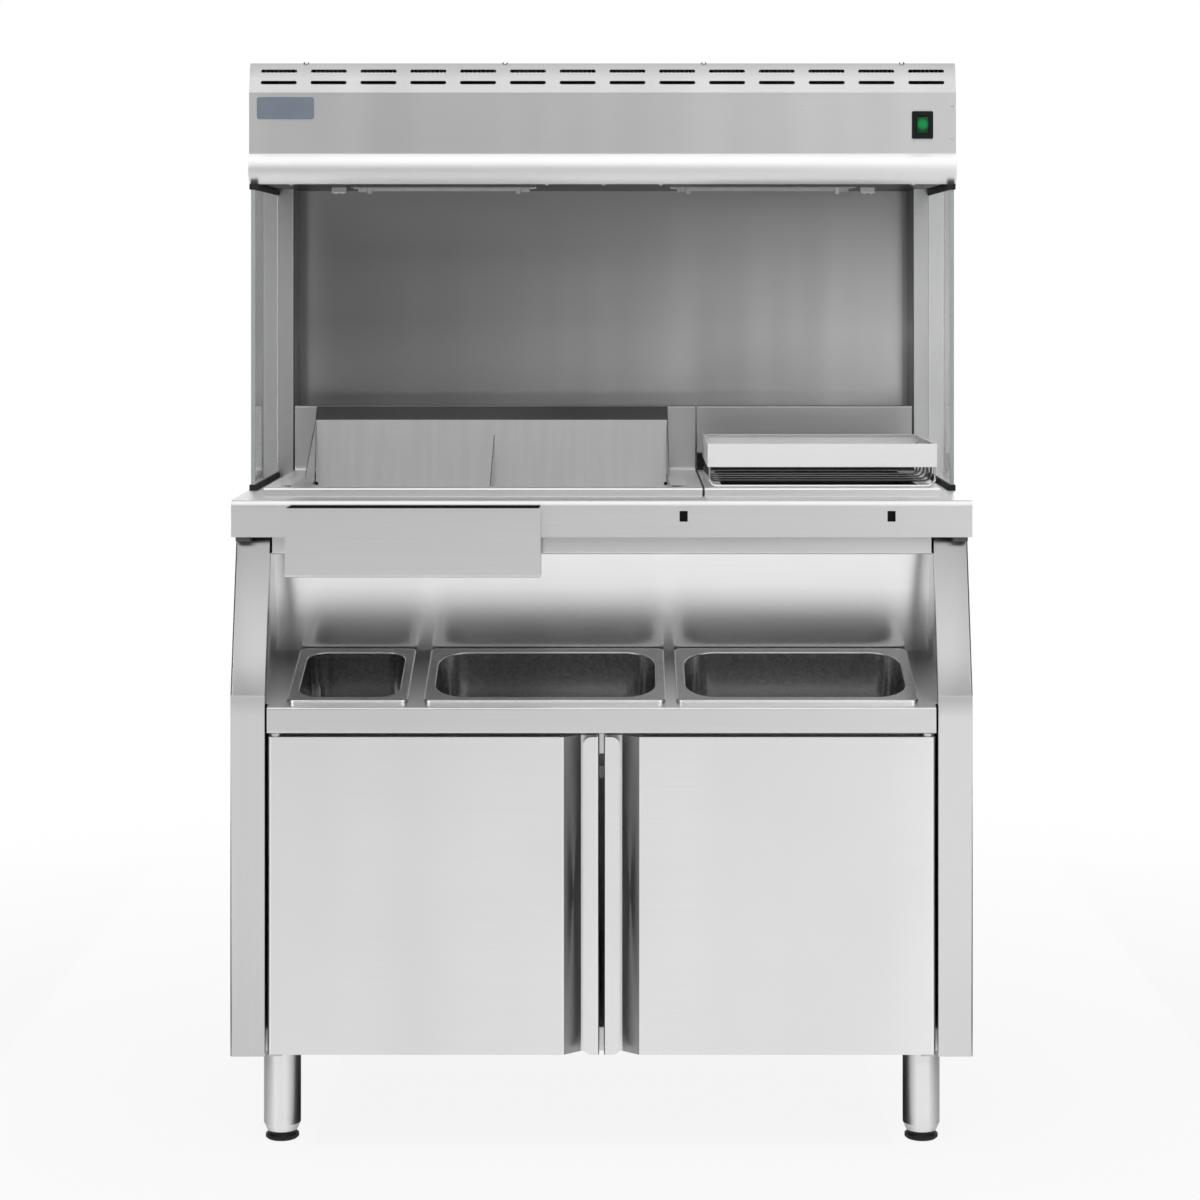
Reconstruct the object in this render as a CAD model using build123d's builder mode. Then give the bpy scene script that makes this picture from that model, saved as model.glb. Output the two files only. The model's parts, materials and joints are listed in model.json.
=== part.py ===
from build123d import *
from math import cos, radians, sin, tan
import os

os.makedirs("parts", exist_ok=True)

# Fries station: a stainless cupboard on four legs with a tilted pan shelf, a worktop with a
# fries scuttle and a wire rack, glass sides and a heated canopy on two rear posts.
# Millimetres. X runs to the right, Y to the rear, Z up from the floor.

# Overall sizes
width = 1000.0  # worktop and canopy, end to end
depth = 600.0  # door faces to the rear
worktop_z = 865.0  # height of the worktop
sheet = 1.2  # stainless sheet
bend = 2.0  # inside radius of a fold
flat_gap = 0.3  # clearance between pieces that part from each other

# Cupboard body
body_inset = 4.0  # side panels inside the worktop's ends
underside_z = 125.0  # lower edge of the cupboard
flange_width = 46.0  # front flange of a side panel
narrow_flange = 20.0  # top and rear flanges of a side panel
lip_depth = 12.0  # return at the inner edge of the front flange
lean_start = 51.0  # the front of a side panel leans back from here, above the fascia's lower edge
lean_angle = 16.1  # degrees from upright
floor_height = 32.0  # cupboard floor above the lower edge
floor_setback = 30.0  # floor front behind the door faces

# Doors
door_thickness = 22.0
door_top_gap = 4.5  # below the fascia
door_side_gap = 3.7  # beside the flanges
door_centre_gap = 6.6  # between the two doors
door_lift = 2.4  # lower edge above the underside
grip_start = 47.7  # the face folds back this far from the free edge
grip_depth = 19.6
grip_floor = 24.7  # width of the flat at the bottom of the grip
grip_lip = 21.2  # width of the lip that the fingers pull
grip_lip_corner = 11.0
hinge_inset = 10.0  # hinge axis from the door's outer edge and from its face
hinge_pin_radius = 4.0
pin_clearance = 0.05
hinge_boss_radius = 8.0
hinge_boss_length = 16.0
hinge_pin_length = 13.5
hinge_plate = 1.5
hinge_plate_width = 28.0
hinge_plate_rise = 25.0
catch_size = (24.0, 8.0, 47.0)

# Pan shelf and the bay behind it
fascia_drop = 309.0  # lower edge of the fascia below the worktop
fascia_height = 34.5
shelf_tilt = 16.0  # degrees, falling to the front
bay_depth = 185.0  # fascia to the foot of the bay's back panel
shelf_tail = 8.0  # shelf behind that foot
bay_top_depth = 151.0  # fascia to the head of the bay's back panel
bay_wall_gap = 5.0  # bay side walls behind the flange's inner edge
stop_height = 31.0  # door stop folded down behind the doors
fascia_gap = 3.0  # between fascia or rail and the side flanges
rail_drop = 75.0  # lower edge of the rail below the worktop
rail_setback = 60.0  # rail behind the door faces
wing_gap = 4.0  # shelf wings start this far behind the flange's return

# Pans: one small and two long, half as wide and as wide as a standard third-size pan
pan_length = 176.0  # along the slope
pan_front_gap = 12.0  # fascia to the pans, along the slope
pan_gaps = (33.0, 20.5, 14.0, 30.0)  # bay wall, between the pans, bay wall
pan_corners = (28.0, 44.0, 44.0)  # plan radius of the bowls
pan_depth = 100.0
pan_wall = 1.0
pan_rim = 12.5  # width of the rim
pan_rim_height = 5.0
pan_rim_corner = 10.0
pan_rim_edge = 2.0
pan_taper = 3.5  # degrees
pan_floor_radius = 14.0
pan_play = 3.0  # bowl to shelf cut-out

# Worktop
worktop_skirt = 50.0
worktop_setback = 39.0  # front face behind the door faces
worktop_nose = 9.0  # radius of the front edge
hook_hole = (11.0, 14.5)
hook_hole_top = 14.5  # below the worktop
hook_end_gap = 109.0  # outer hook holes from the worktop's ends
hook_spacing = 280.5

# Trays let into the worktop
tray_setback = 70.0  # behind the worktop's front face
tray_height = 11.5
tray_span = 379.0  # front flange to splash
tray_border = 25.0
tray_end_gap = (35.0, 35.5)  # trays from the worktop's left and right ends
tray_gap = 3.0  # between the two trays
rack_tray_width = 323.5
splash_height = 97.0
splash_return = 8.0
basin_depth = 80.0  # below the tray top
basin_corner = 12.0
basin_play = 1.5

# Scuttle insert and its divider
insert_gap = (8.0, 16.5)  # insert from the basin's left and right
insert_ledge = 5.0  # its side flanges over the tray's border
insert_front_gap = 8.0
plate_rise = 76.0  # plate head above the tray top
plate_top_gap = 17.0  # plate head in front of the splash
plate_return_gap = 2.0  # the plate's folded-back head to the splash
plate_return_rise = 19.5
plate_foot_gap = 40.0  # plate foot in front of the splash
plate_sink = 33.0  # plate foot below the tray top
insert_floor_fall = 4.0  # degrees, falling to the front
insert_lip = 18.0
cheek_slope = 26.6  # degrees below level
slit_width = 1.0  # between the plate and each cheek
slit_bridge = 8.0  # plate left whole above the slit
drain_slots = (10, 4)
drain_slot = (36.0, 6.0)
drain_edge = 39.0  # outer drain slots from the cheeks
drain_pitch = 62.0  # front to rear
relief_radius = 2.5
relief_rise = 15.0  # relief holes above the plate foot
divider_drop = 22.0  # divider head below the plate head

# Wire rack
rack_play = (4.5, 3.0)  # inside the tray's left and right ends
rack_depth = 247.0
rack_front_gap = 11.0  # behind the tray's front flange
rack_band_height = 32.0
rack_band_rise = 28.0  # band above the tray top
rack_hem = 5.0
wire_radius = 1.5
wire_count = 6
wire_step = 4.0  # inner wires above the first and the last
wire_bend = 10.0
wire_inset = 6.0  # first and last wire from the band's outer faces
wire_weld = 20.0  # wire ends above the band's lower edge

# Hung box
box_overhang = 29.25  # beyond the hooks
box_height = 92.0
box_depth = 63.0
box_drop = 6.0  # its top below the worktop
box_fold = 3.2
hook_width = 9.0
hook_plate = 2.5
hook_leg = 10.0

# Legs and feet
leg_radius = 25.0
leg_wall = 1.5
leg_side_inset = 63.0  # from the side panels' outer faces
leg_inset = 60.0  # from the door faces and from the rear
leg_low_z = 12.0
leg_low_radius = 20.5
leg_taper_z = 22.0
leg_plug_z = 50.0
leg_plate_rim = 1.5
leg_plate = 3.0
foot_radius = 22.0
foot_pad = 8.0
foot_edge = 2.0
foot_collar_radius = 19.0
foot_stem_radius = 5.0
foot_stem_top = 46.0

# Posts, back wall and glass
post_width = 30.0
post_depth = 112.0
wall_setback = 88.0  # back wall behind the post fronts
wall_flange = 13.0
glass_thickness = 6.0
glass_inset = 4.0  # outer face of the glass from the worktop's end
glass_post_gap = 2.0
glass_reach = 9.0  # front of the glass ahead of the canopy's flat face
channel_height = 8.0
channel_wall = 2.0
channel_floor = 3.0

# Canopy
canopy_clear = 433.0  # worktop to canopy
canopy_height = 172.0
canopy_setback = 226.0  # flat face behind the door faces
nose_height = 42.5  # rounded band along the lower edge
nose_reach = 10.0
face_height = 87.0
vent_lean = 10.0  # the slotted band leans back by this much
vent_height = 36.0
canopy_lip = 8.0
vent_slot = (51.0, 5.2)
vent_edge = 41.5  # outer slot centres from the canopy's ends
vent_row_pitch = 17.0
vent_row_drop = 13.5  # middle of the two rows below the top of their band
vent_count = (14, 2)
gland_length = 16.0
gland_radius = 9.0
gland_nut_radius = 12.0
gland_inset = 100.0  # from the canopy's right end
gland_drop = 60.0
terminal_size = (80.0, 60.0, 40.0)
terminal_inset = 170.0  # from the canopy's right end
terminal_gap = 8.0  # behind the heater's mouth

# Heaters
heater_end_gap = 264.0  # heater middles from the canopy's ends
heater_setback = 192.0  # behind the canopy's flat face
reflector_length = 274.0
reflector_mouth = 44.0
reflector_crown = 24.0
reflector_height = 22.0
reflector_flange = 10.0
heater_tube_radius = 4.0
heater_tube_length = 234.0
clip_inset = 7.0  # clips from the tube's ends
clip_size = (6.0, 13.0, 12.0)
clip_wall = 4.0  # below the tube
clip_stem = 3.0

# Switch
switch_inset = 47.4  # from the canopy's right end
switch_rise = 83.5  # above the canopy's lower edge
bezel = (30.0, 39.0, 2.0)
switch_body = (22.0, 32.0, 18.0)
rocker_width = 15.6
rocker_reach = 12.0
rocker_play = 0.7
rocker_tilt = 7.0  # degrees each way from the middle
rocker_pin_radius = 1.5
rocker_pin_length = 2.0
rocker_pocket = 10.0

# Worked-out places
half = width / 2
box_proud = max(0.0, box_depth - worktop_setback)
rear_y = (depth + box_proud) / 2
front_y = rear_y - depth
body_half = half - body_inset
skin_x = body_half - sheet
mouth_half = body_half - flange_width
lean = tan(radians(lean_angle))
lean_sheet = sheet / cos(radians(lean_angle))
slope = tan(radians(shelf_tilt))
fascia_z = worktop_z - fascia_drop
lean_start_z = fascia_z + lean_start
rail_z = worktop_z - rail_drop
bay_half_width = mouth_half + bay_wall_gap
pan_unit = (2 * bay_half_width - sum(pan_gaps)) / 2.5
pan_widths = (pan_unit / 2, pan_unit, pan_unit)
panel_top = worktop_z - sheet
panel_rear_y = rear_y - sheet
back_y = panel_rear_y - sheet
floor_y = front_y + floor_setback
worktop_y = front_y + worktop_setback
shelf_front_z = fascia_z + fascia_height
bay_foot_y = front_y + bay_depth
bay_head_y = front_y + bay_top_depth
canopy_y = front_y + canopy_setback
canopy_z = worktop_z + canopy_clear
heater_y = canopy_y + heater_setback
tray_y = worktop_y + tray_setback
tray_top = worktop_z + tray_height
splash_y = tray_y + tray_span
splash_top_z = tray_top + splash_height
basin_floor = tray_top - basin_depth + sheet
rack_x = (half - tray_end_gap[1] - rack_tray_width, half - tray_end_gap[1])
scuttle_x = (tray_end_gap[0] - half, rack_x[0] - tray_gap)
rack_width = rack_tray_width - sum(rack_play)
rack_band_z = tray_top + rack_band_rise
plate_top_z = tray_top + plate_rise
plate_foot_z = tray_top - plate_sink
hook_hole_x = (half - hook_end_gap - hook_spacing, half - hook_end_gap)
box_width = hook_spacing + 2 * box_overhang
leg_x = body_half - leg_side_inset
switch_x = half - switch_inset
switch_z = canopy_z + switch_rise
gland_x = half - gland_inset
post_y = rear_y - post_depth
ceiling_z = canopy_z + sheet


def lean_y(z):
    """Front edge of a side panel at a height."""
    return front_y + max(0.0, z - lean_start_z) * lean


def shelf_z(y):
    """Top of the pan shelf at a depth."""
    return shelf_front_z + (y - front_y) * slope


def bay_y(z):
    """Front of the bay's leaning back panel at a height."""
    foot_z = shelf_z(bay_foot_y)
    return bay_foot_y + (bay_head_y - bay_foot_y) * (z - foot_z) / (rail_z - foot_z)


def save(piece, name):
    """Label a finished piece and write it."""
    piece.part.label = name
    export_step(piece.part, f"parts/{name}.step")


def save_mirrored(piece, name):
    """Write the opposite-hand copy of a piece."""
    with BuildPart() as twin:
        mirror(piece.part, about=Plane.YZ)
    save(twin, name)


def folded(points, corners=None):
    """Face of a folded sheet whose one skin runs along points, with the metal on its left."""
    vectors = [Vector(*point) for point in points]
    runs = [(b - a).normalized() for a, b in zip(vectors, vectors[1:])]
    sides = [Vector(-run.Y, run.X) for run in runs]
    inner = [vectors[0] + sides[0] * sheet]
    skin_radii, inner_radii = [], []
    for index, point in enumerate(vectors[1:-1]):
        before, after = sides[index], sides[index + 1]
        inner.append(point + (before + after) * (sheet / (1 + before.dot(after))))
        inside = corners[index] if corners else bend
        turns_left = runs[index].cross(runs[index + 1]).Z > 0
        skin_radii.append(inside + sheet if turns_left else inside)
        inner_radii.append(inside if turns_left else inside + sheet)
    inner.append(vectors[-1] + sides[-1] * sheet)
    with BuildLine() as section:
        skin = FilletPolyline(*vectors, radius=skin_radii)
        core = FilletPolyline(*inner[::-1], radius=inner_radii[::-1])
        Line(skin @ 1, core @ 0)
        Line(core @ 1, skin @ 0)
    make_face(section.edges())


def span(low, high):
    """Middle of a span and its length."""
    return (low + high) / 2, high - low


# Side panels: tray-shaped skins whose front flange follows the leaning outline
with BuildPart() as side_panel_left:
    with BuildSketch(Plane.YZ.offset(-body_half)):
        Polygon(
            (panel_rear_y, underside_z),
            (panel_rear_y, panel_top),
            (lean_y(panel_top), panel_top),
            (front_y, lean_start_z),
            (front_y, underside_z),
            align=None,
        )
    extrude(amount=flange_width)
    outer_edges = side_panel_left.faces().sort_by(Axis.X)[0].edges()
    fillet(outer_edges.filter_by(lambda edge: edge.center().Y < lean_y(panel_top)), bend + sheet)
    mouth = side_panel_left.faces().sort_by(Axis.X)[-1]
    foot = side_panel_left.faces().sort_by(Axis.Z)[0]
    offset(amount=-sheet, openings=[mouth, foot])
    trim_y, trim_length = span(lean_y(panel_top) + flange_width, rear_y)
    trim_z, trim_height = span(underside_z, worktop_z)
    with BuildSketch(Plane.YZ.offset(narrow_flange - body_half)):
        with Locations((trim_y, trim_z)):
            Rectangle(trim_length, trim_height)
    extrude(amount=flange_width, mode=Mode.SUBTRACT)
    with BuildSketch(Plane.YZ.offset(-mouth_half)):
        Polygon(
            (front_y, underside_z),
            (front_y, lean_start_z),
            (lean_y(panel_top), panel_top),
            (lean_y(panel_top) + lip_depth, panel_top),
            (front_y + lip_depth, lean_start_z),
            (front_y + lip_depth, underside_z),
            align=None,
        )
    extrude(amount=-sheet)
save(side_panel_left, "side_panel_left")
save_mirrored(side_panel_left, "side_panel_right")

# Cupboard floor: an upturned tray whose front edge shows between the doors
with BuildPart() as base_panel:
    base_y, base_length = span(floor_y, back_y - sheet)
    with BuildSketch(Plane.XY.offset(underside_z)):
        with Locations((0, base_y)):
            Rectangle(2 * skin_x, base_length)
    extrude(amount=floor_height)
    fillet(base_panel.faces().sort_by(Axis.Z)[-1].edges().sort_by(Axis.Y)[0], bend + sheet)
    offset(amount=-sheet, openings=base_panel.faces().sort_by(Axis.Z)[0])
save(base_panel, "base_panel")

# Rear sheet of the cupboard, behind the floor and in front of the rear flanges
with BuildPart() as back_panel:
    back_mid, back_height = span(underside_z, panel_top - sheet)
    with BuildSketch(Plane.XZ.offset(-back_y)):
        with Locations((0, back_mid)):
            Rectangle(2 * skin_x, back_height)
    extrude(amount=sheet)
save(back_panel, "back_panel")

# Rail under the worktop, folded back as the ceiling of the bay
with BuildPart() as front_rail:
    rail_half = mouth_half - fascia_gap
    rail_y = front_y + rail_setback
    with BuildSketch(Plane.YZ):
        folded([(rail_y, panel_top), (rail_y, rail_z), (bay_head_y, rail_z)])
    extrude(amount=rail_half, both=True)
    ceiling_y, ceiling_length = span(lean_y(rail_z) + lip_depth + wing_gap, bay_head_y)
    with BuildSketch(Plane.XY.offset(rail_z)):
        with Locations((0, ceiling_y)):
            Rectangle(2 * skin_x, ceiling_length)
    extrude(amount=sheet)
save(front_rail, "front_rail")

# Leaning back panel of the bay, standing on the pan shelf
with BuildPart() as bay_back_panel:
    with BuildSketch(Plane.YZ):
        Polygon(
            (bay_y(rail_z), rail_z),
            (bay_foot_y, shelf_z(bay_foot_y)),
            (bay_foot_y + sheet, shelf_z(bay_foot_y + sheet)),
            (bay_y(rail_z) + sheet, rail_z),
            align=None,
        )
    extrude(amount=skin_x, both=True)
save(bay_back_panel, "bay_back_panel")

# Side walls of the bay, from the front flange to the back panel
with BuildPart() as bay_side_left:
    with BuildSketch(Plane.YZ.offset(-bay_half_width)):
        Polygon(
            (front_y + sheet, shelf_z(front_y + sheet)),
            (bay_foot_y, shelf_z(bay_foot_y)),
            (bay_y(rail_z), rail_z),
            (lean_y(rail_z) + lean_sheet, rail_z),
            (front_y + lean_sheet, lean_start_z),
            (front_y + sheet, lean_start_z - sheet),
            align=None,
        )
    extrude(amount=-sheet)
save(bay_side_left, "bay_side_left")
save_mirrored(bay_side_left, "bay_side_right")

# Pan shelf: slope, fascia, return and door stop folded from one sheet, with three cut-outs
pan_middle_y = front_y + (pan_front_gap + pan_length / 2) * cos(radians(shelf_tilt))
shelf_plane = Plane(
    origin=(0, pan_middle_y, shelf_z(pan_middle_y)),
    x_dir=(1, 0, 0),
    z_dir=(0, -sin(radians(shelf_tilt)), cos(radians(shelf_tilt))),
)
pan_bowls = [(pan - 2 * pan_rim, pan_length - 2 * pan_rim) for pan in pan_widths]
pan_starts = [sum(pan_gaps[: i + 1]) + sum(pan_widths[:i]) - bay_half_width for i in range(3)]
pan_centres = [start + pan / 2 for start, pan in zip(pan_starts, pan_widths)]
with BuildPart() as pan_shelf:
    tail_y = bay_foot_y + shelf_tail
    stop_y = front_y + floor_setback
    with BuildSketch(Plane.YZ):
        folded(
            [
                (tail_y, shelf_z(tail_y)),
                (front_y, shelf_front_z),
                (front_y, fascia_z),
                (stop_y, fascia_z),
                (stop_y, fascia_z - stop_height),
            ]
        )
    extrude(amount=mouth_half - fascia_gap, both=True)
    wing_y = front_y + lip_depth + wing_gap
    shelf_drop = sheet / cos(radians(shelf_tilt))
    with BuildSketch(Plane.YZ):
        Polygon(
            (wing_y, shelf_z(wing_y)),
            (tail_y, shelf_z(tail_y)),
            (tail_y, shelf_z(tail_y) - shelf_drop),
            (wing_y, shelf_z(wing_y) - shelf_drop),
            align=None,
        )
    extrude(amount=skin_x, both=True)
    for centre, (bowl_width, bowl_length), corner in zip(pan_centres, pan_bowls, pan_corners):
        with BuildSketch(shelf_plane.offset(sheet)):
            with Locations((centre, 0)):
                RectangleRounded(bowl_width + 2 * pan_play, bowl_length + 2 * pan_play, corner + pan_play)
        extrude(amount=-3 * sheet, mode=Mode.SUBTRACT)
save(pan_shelf, "pan_shelf")

# Pans: drawn bowls with a rim that turns down onto the shelf
pan_names = ("pan_small", "pan_middle", "pan_right")
for name, centre, pan_width, bowl, corner in zip(pan_names, pan_centres, pan_widths, pan_bowls, pan_corners):
    rim_plane = shelf_plane.offset(pan_rim_height)
    hollow_size = [size - 2 * pan_wall for size in bowl]
    with BuildPart() as hollow:
        with BuildSketch(rim_plane):
            with Locations((centre, 0)):
                RectangleRounded(*hollow_size, corner - pan_wall)
        extrude(amount=pan_wall - pan_depth, taper=pan_taper)
        fillet(hollow.faces().sort_by(Axis.Z)[0].edges(), pan_floor_radius - pan_wall)
    with BuildPart() as pan:
        with BuildSketch(rim_plane):
            with Locations((centre, 0)):
                RectangleRounded(*bowl, corner)
        extrude(amount=-pan_depth, taper=pan_taper)
        fillet(pan.faces().sort_by(Axis.Z)[0].edges(), pan_floor_radius)
        add(hollow.part, mode=Mode.SUBTRACT)
        with BuildSketch(rim_plane):
            with Locations((centre, 0)):
                RectangleRounded(pan_width, pan_length, pan_rim_corner)
                RectangleRounded(*hollow_size, corner - pan_wall, mode=Mode.SUBTRACT)
        extrude(amount=-pan_wall)
        with BuildSketch(rim_plane):
            with Locations((centre, 0)):
                RectangleRounded(pan_width, pan_length, pan_rim_corner)
                inner_rim = (pan_width - 2 * pan_wall, pan_length - 2 * pan_wall)
                RectangleRounded(*inner_rim, pan_rim_corner - pan_wall, mode=Mode.SUBTRACT)
        extrude(amount=-pan_rim_height)
        rim_face = pan.faces().sort_by(Axis(rim_plane.origin, rim_plane.z_dir))[-1]
        fillet(rim_face.edges(), pan_rim_edge)
    save(pan, name)

# Worktop: skirted sheet with a rounded front edge, hook holes and two cut-outs
cut_y, cut_length = span(tray_y + tray_border, splash_y - tray_border)
with BuildPart() as worktop:
    top_y, top_length = span(worktop_y, rear_y)
    with BuildSketch(Plane.XY.offset(worktop_z - worktop_skirt)):
        with Locations((0, top_y)):
            Rectangle(width, top_length)
    extrude(amount=worktop_skirt)
    front_edge = worktop.faces().sort_by(Axis.Z)[-1].edges().sort_by(Axis.Y)[0]
    fillet(front_edge, worktop_nose)
    offset(amount=-sheet, openings=worktop.faces().sort_by(Axis.Z)[0])
    for low, high in (scuttle_x, rack_x):
        cut_x, cut_width = span(low + tray_border, high - tray_border)
        cut_size = [size + 2 * (sheet + basin_play) for size in (cut_width, cut_length)]
        with BuildSketch(Plane.XY.offset(worktop_z)):
            with Locations((cut_x, cut_y)):
                RectangleRounded(*cut_size, basin_corner)
        extrude(amount=-2 * sheet, mode=Mode.SUBTRACT)
    hole_z = worktop_z - hook_hole_top - hook_hole[1] / 2
    with BuildSketch(Plane.XZ.offset(-worktop_y)):
        with Locations(*[(sign * x, hole_z) for x in hook_hole_x for sign in (-1, 1)]):
            Rectangle(*hook_hole)
    extrude(amount=2 * sheet, both=True, mode=Mode.SUBTRACT)
save(worktop, "worktop")

# Trays let into the worktop: flanged frame, splash at the rear and a basin below
for name, (low, high) in (("scuttle_well", scuttle_x), ("rack_well", rack_x)):
    cut_x, cut_width = span(low + tray_border, high - tray_border)
    with BuildPart() as tray:
        with BuildSketch(Plane.YZ.offset(low)):
            folded(
                [
                    (splash_y + splash_return, splash_top_z),
                    (splash_y, splash_top_z),
                    (splash_y, tray_top),
                    (tray_y, tray_top),
                    (tray_y, worktop_z),
                ]
            )
        extrude(amount=high - low)
        side_y, side_length = span(tray_y + sheet + bend, splash_y)
        for side_x in (low, high - sheet):
            with BuildSketch(Plane.YZ.offset(side_x)):
                with Locations((side_y, worktop_z + tray_height / 2)):
                    Rectangle(side_length, tray_height)
            extrude(amount=sheet)
        with BuildSketch(Plane.XY.offset(tray_top)):
            with Locations((cut_x, cut_y)):
                RectangleRounded(cut_width + 2 * sheet, cut_length + 2 * sheet, basin_corner)
        extrude(amount=-basin_depth)
        with BuildSketch(Plane.XY.offset(basin_floor)):
            with Locations((cut_x, cut_y)):
                RectangleRounded(cut_width, cut_length, basin_corner - sheet)
        extrude(amount=basin_depth, mode=Mode.SUBTRACT)
    save(tray, name)

# Scuttle insert: tall back plate, sloping drained floor, and cheeks with flanges on the tray, in one lift-out
insert_low = scuttle_x[0] + tray_border + insert_gap[0]
insert_high = scuttle_x[1] - tray_border - insert_gap[1]
insert_x, insert_width = span(insert_low, insert_high)
plate_head = (splash_y - plate_top_gap, plate_top_z)
plate_foot = (splash_y - plate_foot_gap, plate_foot_z)
lip_y = tray_y + tray_border + insert_front_gap
floor_fall = tan(radians(insert_floor_fall))
lip_foot_z = plate_foot_z - (plate_foot[0] - lip_y) * floor_fall
lip_top_z = lip_foot_z + insert_lip
flange_z = tray_top + flat_gap
flange_x = (scuttle_x[0] + tray_border - insert_ledge, scuttle_x[1] - tray_border + insert_ledge)
cheek_front_y = plate_head[0] - (plate_top_z - flange_z - sheet) / tan(radians(cheek_slope))
with BuildPart() as scuttle_insert:
    insert_half = insert_width / 2
    with BuildSketch(Plane.YZ.offset(insert_x)):
        plate_return = plate_top_gap - plate_return_gap
        plate_tip = (plate_head[0] + plate_return, plate_head[1] + plate_return_rise)
        folded([plate_tip, plate_head, plate_foot, (lip_y, lip_foot_z), (lip_y, lip_top_z)])
    extrude(amount=insert_half, both=True)
    for cheek_x in (insert_low, insert_high - sheet):
        with BuildSketch(Plane.YZ.offset(cheek_x)):
            Polygon(
                plate_head,
                (cheek_front_y, flange_z + sheet),
                (lip_y, flange_z + sheet),
                (lip_y, basin_floor),
                (plate_foot[0] + sheet, basin_floor),
                (plate_foot[0] + sheet, plate_foot_z),
                align=None,
            )
        extrude(amount=sheet)
    flange_y, flange_length = span(lip_y, plate_foot[0])
    for flange_low, flange_high in ((flange_x[0], insert_low + sheet), (insert_high - sheet, flange_x[1])):
        flange_middle, flange_width = span(flange_low, flange_high)
        with BuildSketch(Plane.XY.offset(flange_z)):
            with Locations((flange_middle, flange_y)):
                Rectangle(flange_width, flange_length)
        extrude(amount=sheet)
    drain_middle = (plate_foot[0] + lip_y) / 2
    drain_plane = Plane(
        origin=(insert_x, drain_middle, plate_foot_z - (plate_foot[0] - drain_middle) * floor_fall),
        x_dir=(1, 0, 0),
        z_dir=(0, -sin(radians(insert_floor_fall)), cos(radians(insert_floor_fall))),
    )
    with BuildSketch(drain_plane):
        drain_step = (insert_width - 2 * drain_edge) / (drain_slots[0] - 1)
        with GridLocations(drain_step, drain_pitch, *drain_slots):
            SlotOverall(drain_slot[0], drain_slot[1], rotation=90)
    extrude(amount=2 * sheet, both=True, mode=Mode.SUBTRACT)
    with BuildSketch(Plane.XZ.offset(-plate_foot[0])):
        slit_x = insert_half - sheet - slit_width / 2
        relief_z = plate_foot_z + relief_rise
        slit_z, slit_height = span(relief_z, plate_top_z - slit_bridge)
        with Locations((insert_x - slit_x, slit_z), (insert_x + slit_x, slit_z)):
            Rectangle(slit_width, slit_height)
        relief_x = insert_half - sheet - relief_radius
        with Locations((insert_x - relief_x, relief_z), (insert_x + relief_x, relief_z)):
            Circle(relief_radius)
    extrude(amount=2 * plate_foot_gap / 3, both=True, mode=Mode.SUBTRACT)
save(scuttle_insert, "scuttle_insert")

# Divider: a loose triangular fin standing on the insert's floor, midway between its flanges
with BuildPart() as scuttle_divider:
    plate_rake = (plate_head[0] - plate_foot[0]) / (plate_top_z - plate_foot_z)
    fin_head_z = plate_top_z - divider_drop
    fin_back = [plate_foot[0] + (z - plate_foot_z) * plate_rake - flat_gap for z in (fin_head_z, plate_foot_z)]
    fin_foot_y = fin_back[1] - bend
    fin_slope = tan(radians(cheek_slope))
    fin_foot_z = plate_foot_z - (plate_foot[0] - fin_foot_y) * floor_fall
    fin_front_y = fin_foot_y - (fin_head_z - fin_foot_z) / (fin_slope - floor_fall)
    with BuildSketch(Plane.YZ.offset(sum(flange_x) / 2)):
        Polygon(
            (fin_back[0], fin_head_z),
            (fin_front_y, plate_foot_z - (plate_foot[0] - fin_front_y) * floor_fall),
            (fin_foot_y, fin_foot_z),
            (fin_back[1], plate_foot_z + bend),
            align=None,
        )
    extrude(amount=sheet / 2, both=True)
save(scuttle_divider, "scuttle_divider")

# Wire rack: sheet band with a hem, and U-shaped wires hung from it
rack_mid_x = (sum(rack_x) + rack_play[0] - rack_play[1]) / 2
rack_y = tray_y + rack_front_gap
rack_mid_y = rack_y + rack_depth / 2
with BuildPart() as rack_band:
    with BuildSketch(Plane.XY.offset(rack_band_z)):
        with Locations((rack_mid_x, rack_mid_y)):
            Rectangle(rack_width, rack_depth)
            Rectangle(rack_width - 2 * sheet, rack_depth - 2 * sheet, mode=Mode.SUBTRACT)
    extrude(amount=rack_band_height)
    with BuildSketch(Plane.XY.offset(rack_band_z + rack_band_height)):
        with Locations((rack_mid_x, rack_mid_y)):
            Rectangle(rack_width, rack_depth)
            Rectangle(rack_width - 2 * rack_hem, rack_depth - 2 * rack_hem, mode=Mode.SUBTRACT)
    extrude(amount=-sheet)
save(rack_band, "rack_band")

wire_half = rack_width / 2 - sheet - wire_radius
wire_low_z = tray_top + flat_gap + wire_radius
wire_top_z = rack_band_z + wire_weld
wire_pitch = (rack_depth - 2 * wire_inset) / (wire_count - 1)
with BuildPart() as rack_wires:
    for index in range(wire_count):
        wire_y = rack_y + wire_inset + index * wire_pitch
        floor_z = wire_low_z + (wire_step if 0 < index < wire_count - 1 else 0.0)
        with BuildLine(Plane.XZ.offset(-wire_y)) as wire_path:
            FilletPolyline(
                (rack_mid_x - wire_half, wire_top_z),
                (rack_mid_x - wire_half, floor_z),
                (rack_mid_x + wire_half, floor_z),
                (rack_mid_x + wire_half, wire_top_z),
                radius=wire_bend,
            )
        with BuildSketch(Plane(origin=wire_path.line @ 0, z_dir=wire_path.line % 0)):
            Circle(wire_radius)
        sweep(path=wire_path.line)
save(rack_wires, "rack_wires")

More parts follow.
